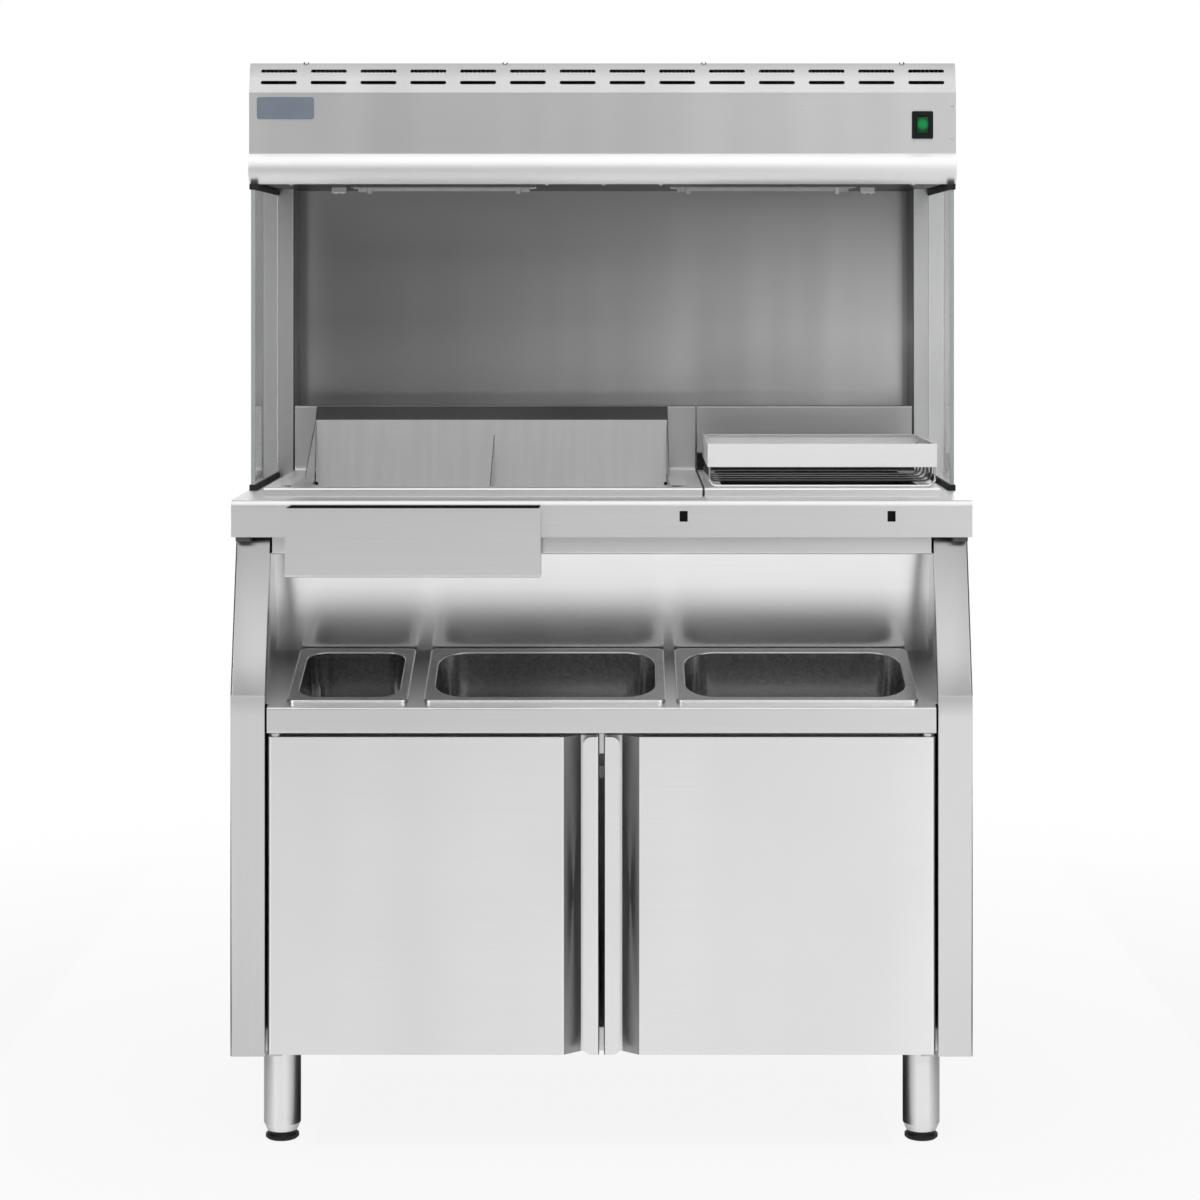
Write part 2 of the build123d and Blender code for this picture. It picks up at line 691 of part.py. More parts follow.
# Hung box: open-topped, with two hooks that drop behind the worktop's front face
box_x = -sum(hook_hole_x) / 2
box_top = worktop_z - box_drop
box_back_y = worktop_y - flat_gap
with BuildPart() as hung_box:
    with BuildSketch(Plane.XY.offset(box_top - box_height)):
        with Locations((box_x, box_back_y - (box_depth - flat_gap) / 2)):
            Rectangle(box_width, box_depth - flat_gap)
    extrude(amount=box_height)
    fillet(hung_box.faces().sort_by(Axis.Y)[0].edges().sort_by(Axis.Z)[0], box_fold)
    offset(amount=-sheet, openings=hung_box.faces().sort_by(Axis.Z)[-1])
    tab_low = worktop_z - hook_hole_top - hook_hole[1]
    tab_rear_y = worktop_y + sheet + flat_gap
    with BuildSketch(Plane.YZ.offset(box_x)):
        Polygon(
            (box_back_y - sheet, tab_low),
            (tab_rear_y, tab_low),
            (tab_rear_y, tab_low - hook_leg),
            (tab_rear_y + hook_plate, tab_low - hook_leg),
            (tab_rear_y + hook_plate, tab_low + hook_plate),
            (box_back_y - sheet, tab_low + hook_plate),
            align=None,
        )
    hook_offset = (hook_hole_x[1] - hook_hole_x[0]) / 2
    extrude(amount=hook_offset + hook_width / 2, both=True)
    with BuildSketch(Plane.XZ.offset(-box_back_y)):
        with Locations((box_x, tab_low)):
            Rectangle(2 * hook_offset - hook_width, box_height)
    extrude(amount=-box_depth, mode=Mode.SUBTRACT)
save(hung_box, "hung_box")

# Legs: tubes with a tapered lower end, a threaded plug and a plate under the floor
leg_top = underside_z + floor_height - sheet
leg_places = {
    "front_left": (-leg_x, front_y + leg_inset),
    "front_right": (leg_x, front_y + leg_inset),
    "rear_left": (-leg_x, rear_y - leg_inset),
    "rear_right": (leg_x, rear_y - leg_inset),
}
stem_bore = foot_stem_radius + pin_clearance
for place, spot in leg_places.items():
    with BuildPart() as leg:
        with BuildSketch(Plane.XZ):
            Polygon(
                (stem_bore, leg_low_z),
                (leg_low_radius, leg_low_z),
                (leg_radius, leg_taper_z),
                (leg_radius, leg_top),
                (leg_radius - leg_wall, leg_top),
                (leg_radius - leg_wall, leg_plug_z),
                (stem_bore, leg_plug_z),
                align=None,
            )
        revolve(axis=Axis.Z)
        with BuildSketch(Plane.XY.offset(leg_top)):
            RectangleRounded(*[2 * (leg_radius + leg_plate_rim)] * 2, leg_radius / 4)
        extrude(amount=-leg_plate)
    with BuildPart() as placed_leg:
        with Locations((*spot, 0)):
            add(leg.part)
    save(placed_leg, f"leg_{place}")
    with BuildPart() as foot:
        with BuildSketch(Plane.XZ):
            Polygon(
                (0, 0),
                (foot_radius - foot_edge, 0),
                (foot_radius, foot_edge),
                (foot_radius, foot_pad - foot_edge),
                (foot_radius - foot_edge, foot_pad),
                (foot_collar_radius, foot_pad),
                (foot_collar_radius, leg_low_z),
                (foot_stem_radius, leg_low_z),
                (foot_stem_radius, foot_stem_top),
                (0, foot_stem_top),
                align=None,
            )
        revolve(axis=Axis.Z)
    with BuildPart() as placed_foot:
        with Locations((*spot, 0)):
            add(foot.part)
    save(placed_foot, f"foot_{place}")

# Doors: a skin folded into a full-height finger grip, and a liner closing its back
door_outer = mouth_half - door_side_gap
door_free = door_centre_gap / 2
door_low = underside_z + door_lift
door_high = fascia_z - door_top_gap
door_back_y = front_y + door_thickness
pivot = (door_outer - hinge_inset, front_y + hinge_inset)
with BuildPart() as door_left_skin:
    grip_y = front_y + grip_depth
    with BuildSketch(Plane.XY.offset(door_low)):
        folded(
            [
                (-door_outer, door_back_y),
                (-door_outer, front_y),
                (-door_free - grip_start, front_y),
                (-door_free - grip_floor, grip_y),
                (-door_free - sheet, grip_y),
                (-door_free - sheet, front_y + sheet),
                (-door_free - grip_lip, front_y + sheet),
            ],
            corners=(hinge_inset / 2 - sheet, bend, bend, bend, bend),
        )
    extrude(amount=door_high - door_low)
    lip_edges = door_left_skin.edges().filter_by(Axis.Y).filter_by(
        lambda edge: abs(edge.center().X + door_free + grip_lip) < sheet
    )
    fillet(lip_edges, grip_lip_corner)
save(door_left_skin, "door_left_skin")
save_mirrored(door_left_skin, "door_right_skin")

with BuildPart() as door_left_liner:
    liner_x, liner_width = span(-door_outer + sheet, -door_free - grip_start - hinge_inset / 2)
    with BuildSketch(Plane.XZ.offset(-door_back_y)):
        with Locations((liner_x, (door_low + door_high) / 2)):
            Rectangle(liner_width, door_high - door_low)
    extrude(amount=door_thickness - sheet)
    rounded = door_left_liner.edges().filter_by(Axis.Z).sort_by(Axis.X)[:2].sort_by(Axis.Y)[0]
    fillet(rounded, hinge_inset / 2)
    with BuildSketch(Plane.XZ.offset(sheet - door_back_y)):
        with Locations((liner_x, (door_low + door_high) / 2)):
            Rectangle(liner_width - 2 * sheet, door_high - door_low - 2 * sheet)
    extrude(amount=door_thickness, mode=Mode.SUBTRACT)
    for base_z, direction in ((door_low, 1), (door_high, -1)):
        with BuildSketch(Plane.XY.offset(base_z)):
            with Locations((-pivot[0], pivot[1])):
                Circle(hinge_boss_radius)
        extrude(amount=direction * hinge_boss_length)
    with BuildSketch(Plane.XY.offset(door_low)):
        with Locations((-pivot[0], pivot[1])):
            Circle(hinge_pin_radius + pin_clearance)
    extrude(amount=door_high - door_low, mode=Mode.SUBTRACT)
    grip_back_x, grip_back_width = span(liner_x, -door_free - sheet)
    with BuildSketch(Plane.XZ.offset(-door_back_y)):
        with Locations((grip_back_x, (door_low + door_high) / 2)):
            Rectangle(grip_back_width, door_high - door_low)
    extrude(amount=sheet)
save(door_left_liner, "door_left_liner")
save_mirrored(door_left_liner, "door_right_liner")

# Hinge pins: flanged above under the fascia, on angle brackets below
with BuildPart() as hinge_pins_upper:
    for side in (-1, 1):
        with BuildSketch(Plane.XY.offset(fascia_z)):
            with Locations((side * pivot[0], pivot[1])):
                Circle(hinge_boss_radius)
        extrude(amount=-(door_top_gap - 2 * flat_gap))
        with BuildSketch(Plane.XY.offset(fascia_z)):
            with Locations((side * pivot[0], pivot[1])):
                Circle(hinge_pin_radius)
        extrude(amount=-(door_top_gap + hinge_pin_length))
save(hinge_pins_upper, "hinge_pins_upper")

with BuildPart() as hinge_brackets_lower:
    for side in (-1, 1):
        bracket_y, bracket_length = span(pivot[1] - hinge_boss_radius, floor_y)
        with BuildSketch(Plane.XY.offset(underside_z)):
            with Locations((side * pivot[0], bracket_y)):
                Rectangle(hinge_plate_width - hinge_inset, bracket_length)
        extrude(amount=hinge_plate)
        with BuildSketch(Plane.XZ.offset(-floor_y)):
            with Locations((side * pivot[0], underside_z + hinge_plate_rise / 2)):
                Rectangle(hinge_plate_width - hinge_inset, hinge_plate_rise)
        extrude(amount=hinge_plate)
        with BuildSketch(Plane.XY.offset(underside_z)):
            with Locations((side * pivot[0], pivot[1])):
                Circle(hinge_pin_radius)
        extrude(amount=door_lift + hinge_pin_length)
save(hinge_brackets_lower, "hinge_brackets_lower")

# Magnetic catch behind the meeting edges of the doors
with BuildPart() as door_catch:
    catch_top = fascia_z - stop_height / 2
    with BuildSketch(Plane.XY.offset(catch_top)):
        with Locations((0, stop_y + sheet + catch_size[1] / 2)):
            RectangleRounded(catch_size[0], catch_size[1], bend)
    extrude(amount=-catch_size[2])
    nose_y, nose_length = span(door_back_y + 2 * flat_gap, stop_y + sheet)
    with BuildSketch(Plane.XY.offset(catch_top - catch_size[2])):
        with Locations((0, nose_y)):
            Rectangle(catch_size[0], nose_length)
    extrude(amount=catch_size[2] - stop_height)
save(door_catch, "door_catch")

# Posts: rectangular tubes from the worktop to the canopy
with BuildPart() as post_left:
    with BuildSketch(Plane.XY.offset(worktop_z)):
        with Locations((-body_half + post_width / 2, post_y + post_depth / 2)):
            RectangleRounded(post_width, post_depth, bend + sheet)
            RectangleRounded(post_width - 2 * sheet, post_depth - 2 * sheet, bend, mode=Mode.SUBTRACT)
    extrude(amount=ceiling_z - worktop_z)
save(post_left, "post_left")
save_mirrored(post_left, "post_right")

# Back wall between the posts, with flanges turned to the rear
with BuildPart() as back_wall:
    wall_y = post_y + wall_setback
    wall_half = body_half - post_width
    wall_mid, wall_height = span(worktop_z, ceiling_z)
    with BuildSketch(Plane.XZ.offset(-wall_y)):
        with Locations((0, wall_mid)):
            Rectangle(2 * wall_half, wall_height)
    extrude(amount=-wall_flange)
    offset(amount=-sheet, openings=back_wall.faces().sort_by(Axis.Y)[-1])
save(back_wall, "back_wall")

# Glass sides in rubber channels
glass_y, glass_length = span(canopy_y - glass_reach, post_y - glass_post_gap)
glass_x = half - glass_inset - glass_thickness / 2
channel_width = glass_thickness + 2 * channel_wall
glass_low = worktop_z + channel_floor
glass_high = canopy_z - channel_floor
with BuildPart() as glass_left:
    with BuildSketch(Plane.YZ.offset(-glass_x)):
        with Locations((glass_y, (glass_low + glass_high) / 2)):
            Rectangle(glass_length, glass_high - glass_low)
    extrude(amount=glass_thickness / 2, both=True)
save(glass_left, "glass_left")
save_mirrored(glass_left, "glass_right")

for level, base_z, slot_z, direction in (
    ("lower", worktop_z, glass_low, 1),
    ("upper", canopy_z, glass_high, -1),
):
    with BuildPart() as channel_left:
        with BuildSketch(Plane.XY.offset(base_z)):
            with Locations((-glass_x, glass_y)):
                Rectangle(channel_width, glass_length)
        extrude(amount=direction * channel_height)
        with BuildSketch(Plane.XY.offset(slot_z)):
            with Locations((-glass_x, glass_y)):
                Rectangle(glass_thickness, glass_length)
        extrude(amount=direction * channel_height, mode=Mode.SUBTRACT)
    save(channel_left, f"glass_channel_{level}_left")
    save_mirrored(channel_left, f"glass_channel_{level}_right")

# Canopy: rounded lower band, flat face, slotted band leaning back, and the top
canopy_top = canopy_z + canopy_height
nose_top = canopy_z + nose_height
face_top = nose_top + face_height
vent_top = face_top + vent_height


def canopy_outline():
    """Closed section of the canopy, for the sketch being drawn."""
    with BuildLine() as outline:
        ThreePointArc(
            (canopy_y, canopy_z),
            (canopy_y - nose_reach, canopy_z + nose_height / 2),
            (canopy_y, nose_top),
        )
        crest = canopy_y + vent_lean
        corner = canopy_top - vent_top
        Polyline((canopy_y, nose_top), (canopy_y, face_top), (crest, vent_top))
        Polyline(
            (crest, vent_top),
            (crest + corner, canopy_top),
            (rear_y, canopy_top),
            (rear_y, canopy_z),
            (canopy_y, canopy_z),
        )
    make_face(outline.edges())


with BuildPart() as canopy_shell:
    shell_half = half - sheet
    with BuildSketch(Plane.YZ):
        canopy_outline()
    extrude(amount=shell_half, both=True)
    ends = [face for face in canopy_shell.faces() if abs(face.normal_at().X) > 0.9]
    under = canopy_shell.faces().sort_by(Axis.Z)[0]
    rear = canopy_shell.faces().sort_by(Axis.Y)[-1]
    offset(amount=-sheet, openings=[*ends, under, rear])
    lip_mid, lip_length = span(canopy_y, canopy_y + canopy_lip)
    with BuildSketch(Plane.XY.offset(canopy_z)):
        with Locations((0, lip_mid)):
            Rectangle(2 * shell_half, lip_length)
    extrude(amount=sheet)
    vent_z = vent_top - vent_row_drop
    vent_plane = Plane(
        origin=(0, canopy_y + vent_lean * (vent_z - face_top) / vent_height, vent_z),
        x_dir=(1, 0, 0),
        z_dir=(0, -vent_height, vent_lean),
    )
    with BuildSketch(vent_plane):
        vent_step = (width - 2 * vent_edge) / (vent_count[0] - 1)
        with GridLocations(vent_step, vent_row_pitch, *vent_count):
            SlotOverall(*vent_slot)
    extrude(amount=2 * sheet, both=True, mode=Mode.SUBTRACT)
    with BuildSketch(Plane.XZ.offset(-canopy_y)):
        with Locations((switch_x, switch_z)):
            Rectangle(switch_body[0], switch_body[1])
    extrude(amount=2 * sheet, both=True, mode=Mode.SUBTRACT)
save(canopy_shell, "canopy_shell")

with BuildPart() as canopy_end_left:
    with BuildSketch(Plane.YZ.offset(-half)):
        canopy_outline()
    extrude(amount=sheet)
save(canopy_end_left, "canopy_end_left")
save_mirrored(canopy_end_left, "canopy_end_right")

# Underside of the canopy, with an opening for each heater
cover_y = rear_y - gland_length - sheet
heater_places = (heater_end_gap - half, half - heater_end_gap)
with BuildPart() as canopy_underside:
    plate_mid, plate_length = span(canopy_y + sheet, cover_y)
    with BuildSketch(Plane.XY.offset(ceiling_z)):
        with Locations((0, plate_mid)):
            Rectangle(2 * shell_half, plate_length)
        with Locations(*[(x, heater_y) for x in heater_places]):
            Rectangle(reflector_length, reflector_mouth, mode=Mode.SUBTRACT)
    extrude(amount=sheet)
save(canopy_underside, "canopy_underside")

# Rear cover of the canopy, set in so that the cable gland stays within the depth
with BuildPart() as canopy_rear_cover:
    cover_mid, cover_height = span(ceiling_z, canopy_top - sheet)
    with BuildSketch(Plane.XZ.offset(-cover_y)):
        with Locations((0, cover_mid)):
            Rectangle(2 * shell_half, cover_height)
        with Locations((gland_x, canopy_top - gland_drop)):
            Circle(gland_radius, mode=Mode.SUBTRACT)
    extrude(amount=-sheet)
save(canopy_rear_cover, "canopy_rear_cover")

with BuildPart() as cable_gland:
    with BuildSketch(Plane.XZ.offset(-cover_y)):
        with Locations((gland_x, canopy_top - gland_drop)):
            Circle(gland_radius)
    extrude(amount=-gland_length)
    with BuildSketch(Plane.XZ.offset(-cover_y - sheet)):
        with Locations((gland_x, canopy_top - gland_drop)):
            RegularPolygon(gland_nut_radius, 6)
            Circle(gland_radius / 2, mode=Mode.SUBTRACT)
    extrude(amount=-gland_length / 2)
    with BuildSketch(Plane.XZ.offset(-cover_y)):
        with Locations((gland_x, canopy_top - gland_drop)):
            Circle(gland_radius / 2)
    extrude(amount=-2 * gland_length, mode=Mode.SUBTRACT)
save(cable_gland, "cable_gland")

# Terminal box for the heater wiring, inside the canopy
with BuildPart() as terminal_box:
    with BuildSketch(Plane.XY.offset(ceiling_z + sheet)):
        terminal_y = heater_y + reflector_mouth / 2 + terminal_gap + terminal_size[1] / 2
        with Locations((half - terminal_inset, terminal_y)):
            RectangleRounded(terminal_size[0], terminal_size[1], bend)
    extrude(amount=terminal_size[2])
save(terminal_box, "terminal_box")

# Infrared heaters: trough reflector, tube and end clips
clip_places = []
for side, x in zip(("left", "right"), heater_places):
    crown_z = ceiling_z + reflector_height
    with BuildPart() as reflector:
        trough = reflector_length - 2 * sheet
        with BuildSketch(Plane.YZ.offset(x)):
            folded(
                [
                    (heater_y - reflector_mouth / 2 - reflector_flange, canopy_z),
                    (heater_y - reflector_mouth / 2 + 2 * sheet, canopy_z),
                    (heater_y - reflector_crown / 2, crown_z),
                    (heater_y + reflector_crown / 2, crown_z),
                    (heater_y + reflector_mouth / 2 - 2 * sheet, canopy_z),
                    (heater_y + reflector_mouth / 2 + reflector_flange, canopy_z),
                ]
            )
        extrude(amount=trough / 2, both=True)
    save(reflector, f"heater_reflector_{side}")

    with BuildPart() as tube:
        with BuildSketch(Plane.YZ.offset(x)):
            with Locations((heater_y, canopy_z)):
                Circle(heater_tube_radius)
        extrude(amount=heater_tube_length / 2, both=True)
    save(tube, f"heater_tube_{side}")
    clip_reach = heater_tube_length / 2 - clip_inset
    clip_places += [x - clip_reach, x + clip_reach]

with BuildPart() as heater_clips:
    clip_low = canopy_z - heater_tube_radius - clip_wall
    stem_low = clip_low + clip_size[2]
    for clip_x in clip_places:
        with BuildSketch(Plane.XY.offset(clip_low)):
            with Locations((clip_x, heater_y)):
                Rectangle(clip_size[0], clip_size[1])
        extrude(amount=clip_size[2])
        with BuildSketch(Plane.XY.offset(stem_low)):
            with Locations((clip_x, heater_y)):
                Rectangle(clip_size[0], clip_stem)
        extrude(amount=crown_z - stem_low)
    for clip_x in clip_places:
        with BuildSketch(Plane.YZ.offset(clip_x)):
            with Locations((heater_y, canopy_z)):
                Circle(heater_tube_radius + pin_clearance)
        extrude(amount=clip_size[0] / 2, both=True, mode=Mode.SUBTRACT)
save(heater_clips, "heater_clips")

# Switch: bezel with a pocket, and a rocker on two stub pins
switch_y = canopy_y - bezel[2]
pivot_y = canopy_y + bezel[2]
rocker_half = rocker_width / 2
with BuildPart() as switch_housing:
    with BuildSketch(Plane.XZ.offset(-switch_y)):
        with Locations((switch_x, switch_z)):
            RectangleRounded(bezel[0], bezel[1], bend)
    extrude(amount=-bezel[2])
    with BuildSketch(Plane.XZ.offset(-canopy_y)):
        with Locations((switch_x, switch_z)):
            Rectangle(switch_body[0], switch_body[1])
    extrude(amount=-switch_body[2])
    with BuildSketch(Plane.XZ.offset(-switch_y)):
        with Locations((switch_x, switch_z)):
            Rectangle(rocker_width + 2 * rocker_play, 2 * (rocker_reach + rocker_play))
    extrude(amount=-rocker_pocket, mode=Mode.SUBTRACT)
    with BuildSketch(Plane.YZ.offset(switch_x)):
        with Locations((pivot_y, switch_z)):
            Circle(rocker_pin_radius + pin_clearance)
    extrude(amount=rocker_half + rocker_pin_length, both=True, mode=Mode.SUBTRACT)
save(switch_housing, "switch_housing")

with BuildPart() as rocker_upright:
    with BuildSketch(Plane.YZ):
        with BuildLine():
            RadiusArc((-rocker_reach / 3, -rocker_reach), (-rocker_reach / 3, rocker_reach), 2 * rocker_reach)
            Polyline(
                (-rocker_reach / 3, rocker_reach),
                (rocker_reach / 3, rocker_reach / 2),
                (rocker_reach / 3, -rocker_reach / 2),
                (-rocker_reach / 3, -rocker_reach),
            )
        make_face()
    extrude(amount=rocker_half, both=True)
    with BuildSketch(Plane.YZ):
        Circle(rocker_pin_radius)
    extrude(amount=rocker_half + rocker_pin_length - flat_gap, both=True)
with BuildPart() as switch_rocker:
    with Locations(Location((switch_x, pivot_y, switch_z), (rocker_tilt, 0, 0))):
        add(rocker_upright.part)
save(switch_rocker, "switch_rocker")
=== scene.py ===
# %% [markdown]
# # A fries station in brushed steel
# The station is a cupboard with a pan bay, a worktop with two sunk trays, and a heated canopy on two posts.
# Its solids come from the CAD frame, already named and in place. This lesson gives them their finishes,
# adds the small fittings that a fabricator would add last, and sets the studio and the camera around them.

# %% Load the frame
import json
import math
import bmesh
import bpy
from mathutils import Matrix, Vector


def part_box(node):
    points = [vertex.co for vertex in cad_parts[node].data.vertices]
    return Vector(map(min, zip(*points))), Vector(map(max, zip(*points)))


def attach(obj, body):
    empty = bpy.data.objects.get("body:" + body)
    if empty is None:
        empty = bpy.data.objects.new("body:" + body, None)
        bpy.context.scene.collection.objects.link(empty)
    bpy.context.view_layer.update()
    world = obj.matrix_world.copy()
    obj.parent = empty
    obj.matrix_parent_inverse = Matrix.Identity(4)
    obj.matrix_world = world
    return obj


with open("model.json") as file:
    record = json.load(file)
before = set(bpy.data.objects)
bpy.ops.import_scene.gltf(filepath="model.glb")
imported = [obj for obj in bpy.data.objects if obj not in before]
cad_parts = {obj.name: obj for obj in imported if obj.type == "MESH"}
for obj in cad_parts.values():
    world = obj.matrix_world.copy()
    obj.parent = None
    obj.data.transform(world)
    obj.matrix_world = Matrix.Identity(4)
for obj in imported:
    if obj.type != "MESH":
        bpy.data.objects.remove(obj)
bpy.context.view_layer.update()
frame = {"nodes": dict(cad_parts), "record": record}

nodes = frame["nodes"]
scene = bpy.context.scene

# %% [markdown]
# ## The camera
# The photograph was taken square on, from well back, with the optical axis level with the open bay under
# the canopy. Tilting a camera would make the uprights lean, so the lens stays level and the picture is slid
# down with the lens shift, as a view camera does.

# %% Camera
PICTURE = 1200.0
FOCAL_PIXELS = 2846.0
SENSOR = 36.0
AXIS_PIXEL = (619.5, 283.0)
CAMERA_PLACE = (0.024, -4.088, 1.158)

lens = bpy.data.cameras.new("front_camera")
lens.sensor_width = SENSOR
lens.lens = FOCAL_PIXELS / PICTURE * SENSOR
lens.shift_x = (PICTURE / 2 - AXIS_PIXEL[0]) / PICTURE
lens.shift_y = (AXIS_PIXEL[1] - PICTURE / 2) / PICTURE
camera = bpy.data.objects.new("front_camera", lens)
camera.location = CAMERA_PLACE
camera.rotation_euler = (math.radians(90), 0, 0)
scene.collection.objects.link(camera)
scene.camera = camera
scene.view_settings.view_transform = "Standard"
print("camera: lens", round(lens.lens, 2), "mm, shift", round(lens.shift_x, 4), round(lens.shift_y, 4))


# %% [markdown]
# ## A short way to write nodes
# Every finish below is a small node tree. One helper makes a node, and takes either a plain number or
# another node's output for each named input, so that a tree reads from top to bottom like a recipe. The
# others wrap it for the few nodes that come up again and again.

# %% Node helpers
X, Y, Z = 0, 1, 2


def put(tree, kind, inputs=None, **settings):
    node = tree.nodes.new(kind)
    for key, value in settings.items():
        setattr(node, key, value)
    for key, value in (inputs or {}).items():
        if isinstance(value, bpy.types.NodeSocket):
            tree.links.new(value, node.inputs[key])
        else:
            node.inputs[key].default_value = value
    return node


def blank_tree(owner):
    owner.use_nodes = True
    owner.node_tree.nodes.clear()
    return owner.node_tree


def maths(tree, operation, first, second=0.0, **settings):
    return put(tree, "ShaderNodeMath", {0: first, 1: second}, operation=operation, **settings).outputs[0]


def vector_maths(tree, operation, first, second=(0.0, 0.0, 0.0)):
    result = "Vector" if operation == "MULTIPLY" else "Value"
    return put(tree, "ShaderNodeVectorMath", {0: first, 1: second}, operation=operation).outputs[result]


def vector(tree, parts):
    return put(tree, "ShaderNodeCombineXYZ", parts).outputs[0]


def noise(tree, place, scale, detail, roughness=0.5):
    return put(tree, "ShaderNodeTexNoise", {
        "Vector": place, "Scale": scale, "Detail": detail, "Roughness": roughness}).outputs[0]


def ramp(tree, value, start, stop, low=0.0, high=1.0, curve="LINEAR"):
    """A value that runs from low to high while another runs from start to stop."""
    return put(tree, "ShaderNodeMapRange", {
        "Value": value, "From Min": start, "From Max": stop, "To Min": low, "To Max": high},
        interpolation_type=curve).outputs[0]


def tint(tree, share, under, over):
    """One colour laid over another, as thickly as share says."""
    return put(tree, "ShaderNodeMix", {0: share, 6: under, 7: over}, data_type="RGBA").outputs[2]


def reading(tree, reads, axis):
    """What a ramp runs on: where a spot is, the way it faces, or how far it faces out from the middle."""
    place = put(tree, "ShaderNodeTexCoord").outputs
    if reads == "along":
        return vector_maths(tree, "DOT_PRODUCT", place["Object"], axis)
    sources = {"at": ["Object"], "faces": ["Normal"], "tilts": ["Normal"],
               "outward": ["Normal", "Object"]}[reads]
    parts = [put(tree, "ShaderNodeSeparateXYZ", {0: place[source]}).outputs[axis] for source in sources]
    if reads == "tilts":
        return maths(tree, "ABSOLUTE", parts[0])
    return maths(tree, "MULTIPLY", *parts) if reads == "outward" else parts[0]


def grey(level):
    """A grey given as 0-255 on screen, as the linear colour that a shader wants."""
    linear = (level / 255.0) ** 2.2
    return (linear, linear, linear, 1.0)


# %% [markdown]
# ## The studio
# Steel shows what stands around it, so the studio is part of the finish. The room is white: the world reads
# as plain white to the camera and to reflections, and only lights matt surfaces softly. The floor glows
# just enough for the camera to be as white as the room, but keeps the shadow under the legs.

# %% World and floor
WHITE = (1, 1, 1, 1)
AMBIENT = 0.55
FLOOR_SIZE = 9.0
FLOOR_PAINT = (0.82, 0.82, 0.82, 1)
FLOOR_GLOW_NEAR, FLOOR_GLOW_REACH = 0.90, (0.4, 2.6)
FLOOR_MIRRORED_NEAR, FLOOR_MIRRORED_REACH = 0.88, (0.5, 1.7)


def shown_rays(tree):
    """1 for the rays that show the room: the camera's, and those off metal and through glass."""
    path = put(tree, "ShaderNodeLightPath").outputs
    shown = maths(tree, "MAXIMUM", path["Is Camera Ray"], path["Is Glossy Ray"])
    return maths(tree, "MAXIMUM", shown, path["Is Transmission Ray"])


def flat(z, x0, x1, y0, y1):
    return [(x0, y0, z), (x1, y0, z), (x1, y1, z), (x0, y1, z)]


def stage_board(name, corners):
    """One face with a blank paint of its own, and the paint's tree."""
    mesh = bpy.data.meshes.new(name)
    mesh.from_pydata(corners, [], [(0, 1, 2, 3)])
    mesh.materials.append(bpy.data.materials.new(name))
    board = bpy.data.objects.new(name, mesh)
    scene.collection.objects.link(board)
    return board, blank_tree(mesh.materials[0])


scene.world = bpy.data.worlds.new("white_room")
tree = blank_tree(scene.world)
soft = put(tree, "ShaderNodeBackground", {"Color": WHITE, "Strength": AMBIENT})
white = put(tree, "ShaderNodeBackground", {"Color": WHITE, "Strength": 1.0})
room = put(tree, "ShaderNodeMixShader", {0: shown_rays(tree), 1: soft.outputs[0], 2: white.outputs[0]})
put(tree, "ShaderNodeOutputWorld", {"Surface": room.outputs[0]})

half = FLOOR_SIZE / 2
floor, tree = stage_board("studio_floor", flat(0, -half, half, -half, half))
reach = vector_maths(tree, "LENGTH", put(tree, "ShaderNodeTexCoord").outputs["Object"])
glow = ramp(tree, reach, *FLOOR_GLOW_REACH, FLOOR_GLOW_NEAR, 1.0, "SMOOTHSTEP")
mirrored = ramp(tree, reach, *FLOOR_MIRRORED_REACH, FLOOR_MIRRORED_NEAR, 1.0, "SMOOTHSTEP")
glossy = put(tree, "ShaderNodeLightPath").outputs["Is Glossy Ray"]
picked = put(tree, "ShaderNodeMix", {0: glossy, 2: glow, 3: mirrored}, data_type="FLOAT")
share = maths(tree, "MULTIPLY", shown_rays(tree), picked.outputs[0])
paint = put(tree, "ShaderNodeBsdfDiffuse", {"Color": FLOOR_PAINT})
lit = put(tree, "ShaderNodeEmission", {"Color": WHITE, "Strength": 1.0})
mixed = put(tree, "ShaderNodeMixShader", {0: share, 1: paint.outputs[0], 2: lit.outputs[0]})
put(tree, "ShaderNodeOutputMaterial", {"Surface": mixed.outputs[0]})
print("studio: white room, floor", FLOOR_SIZE, "m square")

# %% [markdown]
# ## Lamps and dark cards
# Large softboxes give steel its long gentle gradients. A photographer also hangs dark cards out of the
# picture: steel that turns towards one goes dark, so folds, grips and hollows stand out from the white
# room. One card hangs behind the camera, darker to the left, one over the top, one on each side with felt
# on the floor, a pale one behind the left glass and a strip in front of the pan bay, and felt lies between
# the legs. None of them is seen by the camera itself.

# %% Lamps
SOFTBOXES = [
    ("top_softbox", (0.0, -1.4, 3.1), (0.0, -1.4, 0.0), (3.2, 4.0), 56.0),
    ("left_softbox", (-2.0, -3.0, 1.9), (0.0, 0.0, 0.8), (0.9, 1.6), 4.5),
    ("right_softbox", (2.0, -3.0, 1.9), (0.0, 0.0, 0.8), (0.9, 1.6), 5.0),
    ("rear_softbox", (0.0, 2.6, 2.2), (0.0, 0.0, 0.9), (2.4, 1.4), 16.0),
]
for name, spot, target, (wide, tall), watts in SOFTBOXES:
    lamp = bpy.data.lights.new(name, "AREA")
    lamp.shape = "RECTANGLE"
    lamp.size = wide
    lamp.size_y = tall
    lamp.energy = watts
    box = bpy.data.objects.new(name, lamp)
    box.location = spot
    box.rotation_euler = (Vector(target) - Vector(spot)).to_track_quat("-Z", "Y").to_euler()
    scene.collection.objects.link(box)
print("lamps:", [softbox[0] for softbox in SOFTBOXES])

# %% Cards and felt
FELT_Z = 0.004
GRADED_X = (-1.0, 0.6)


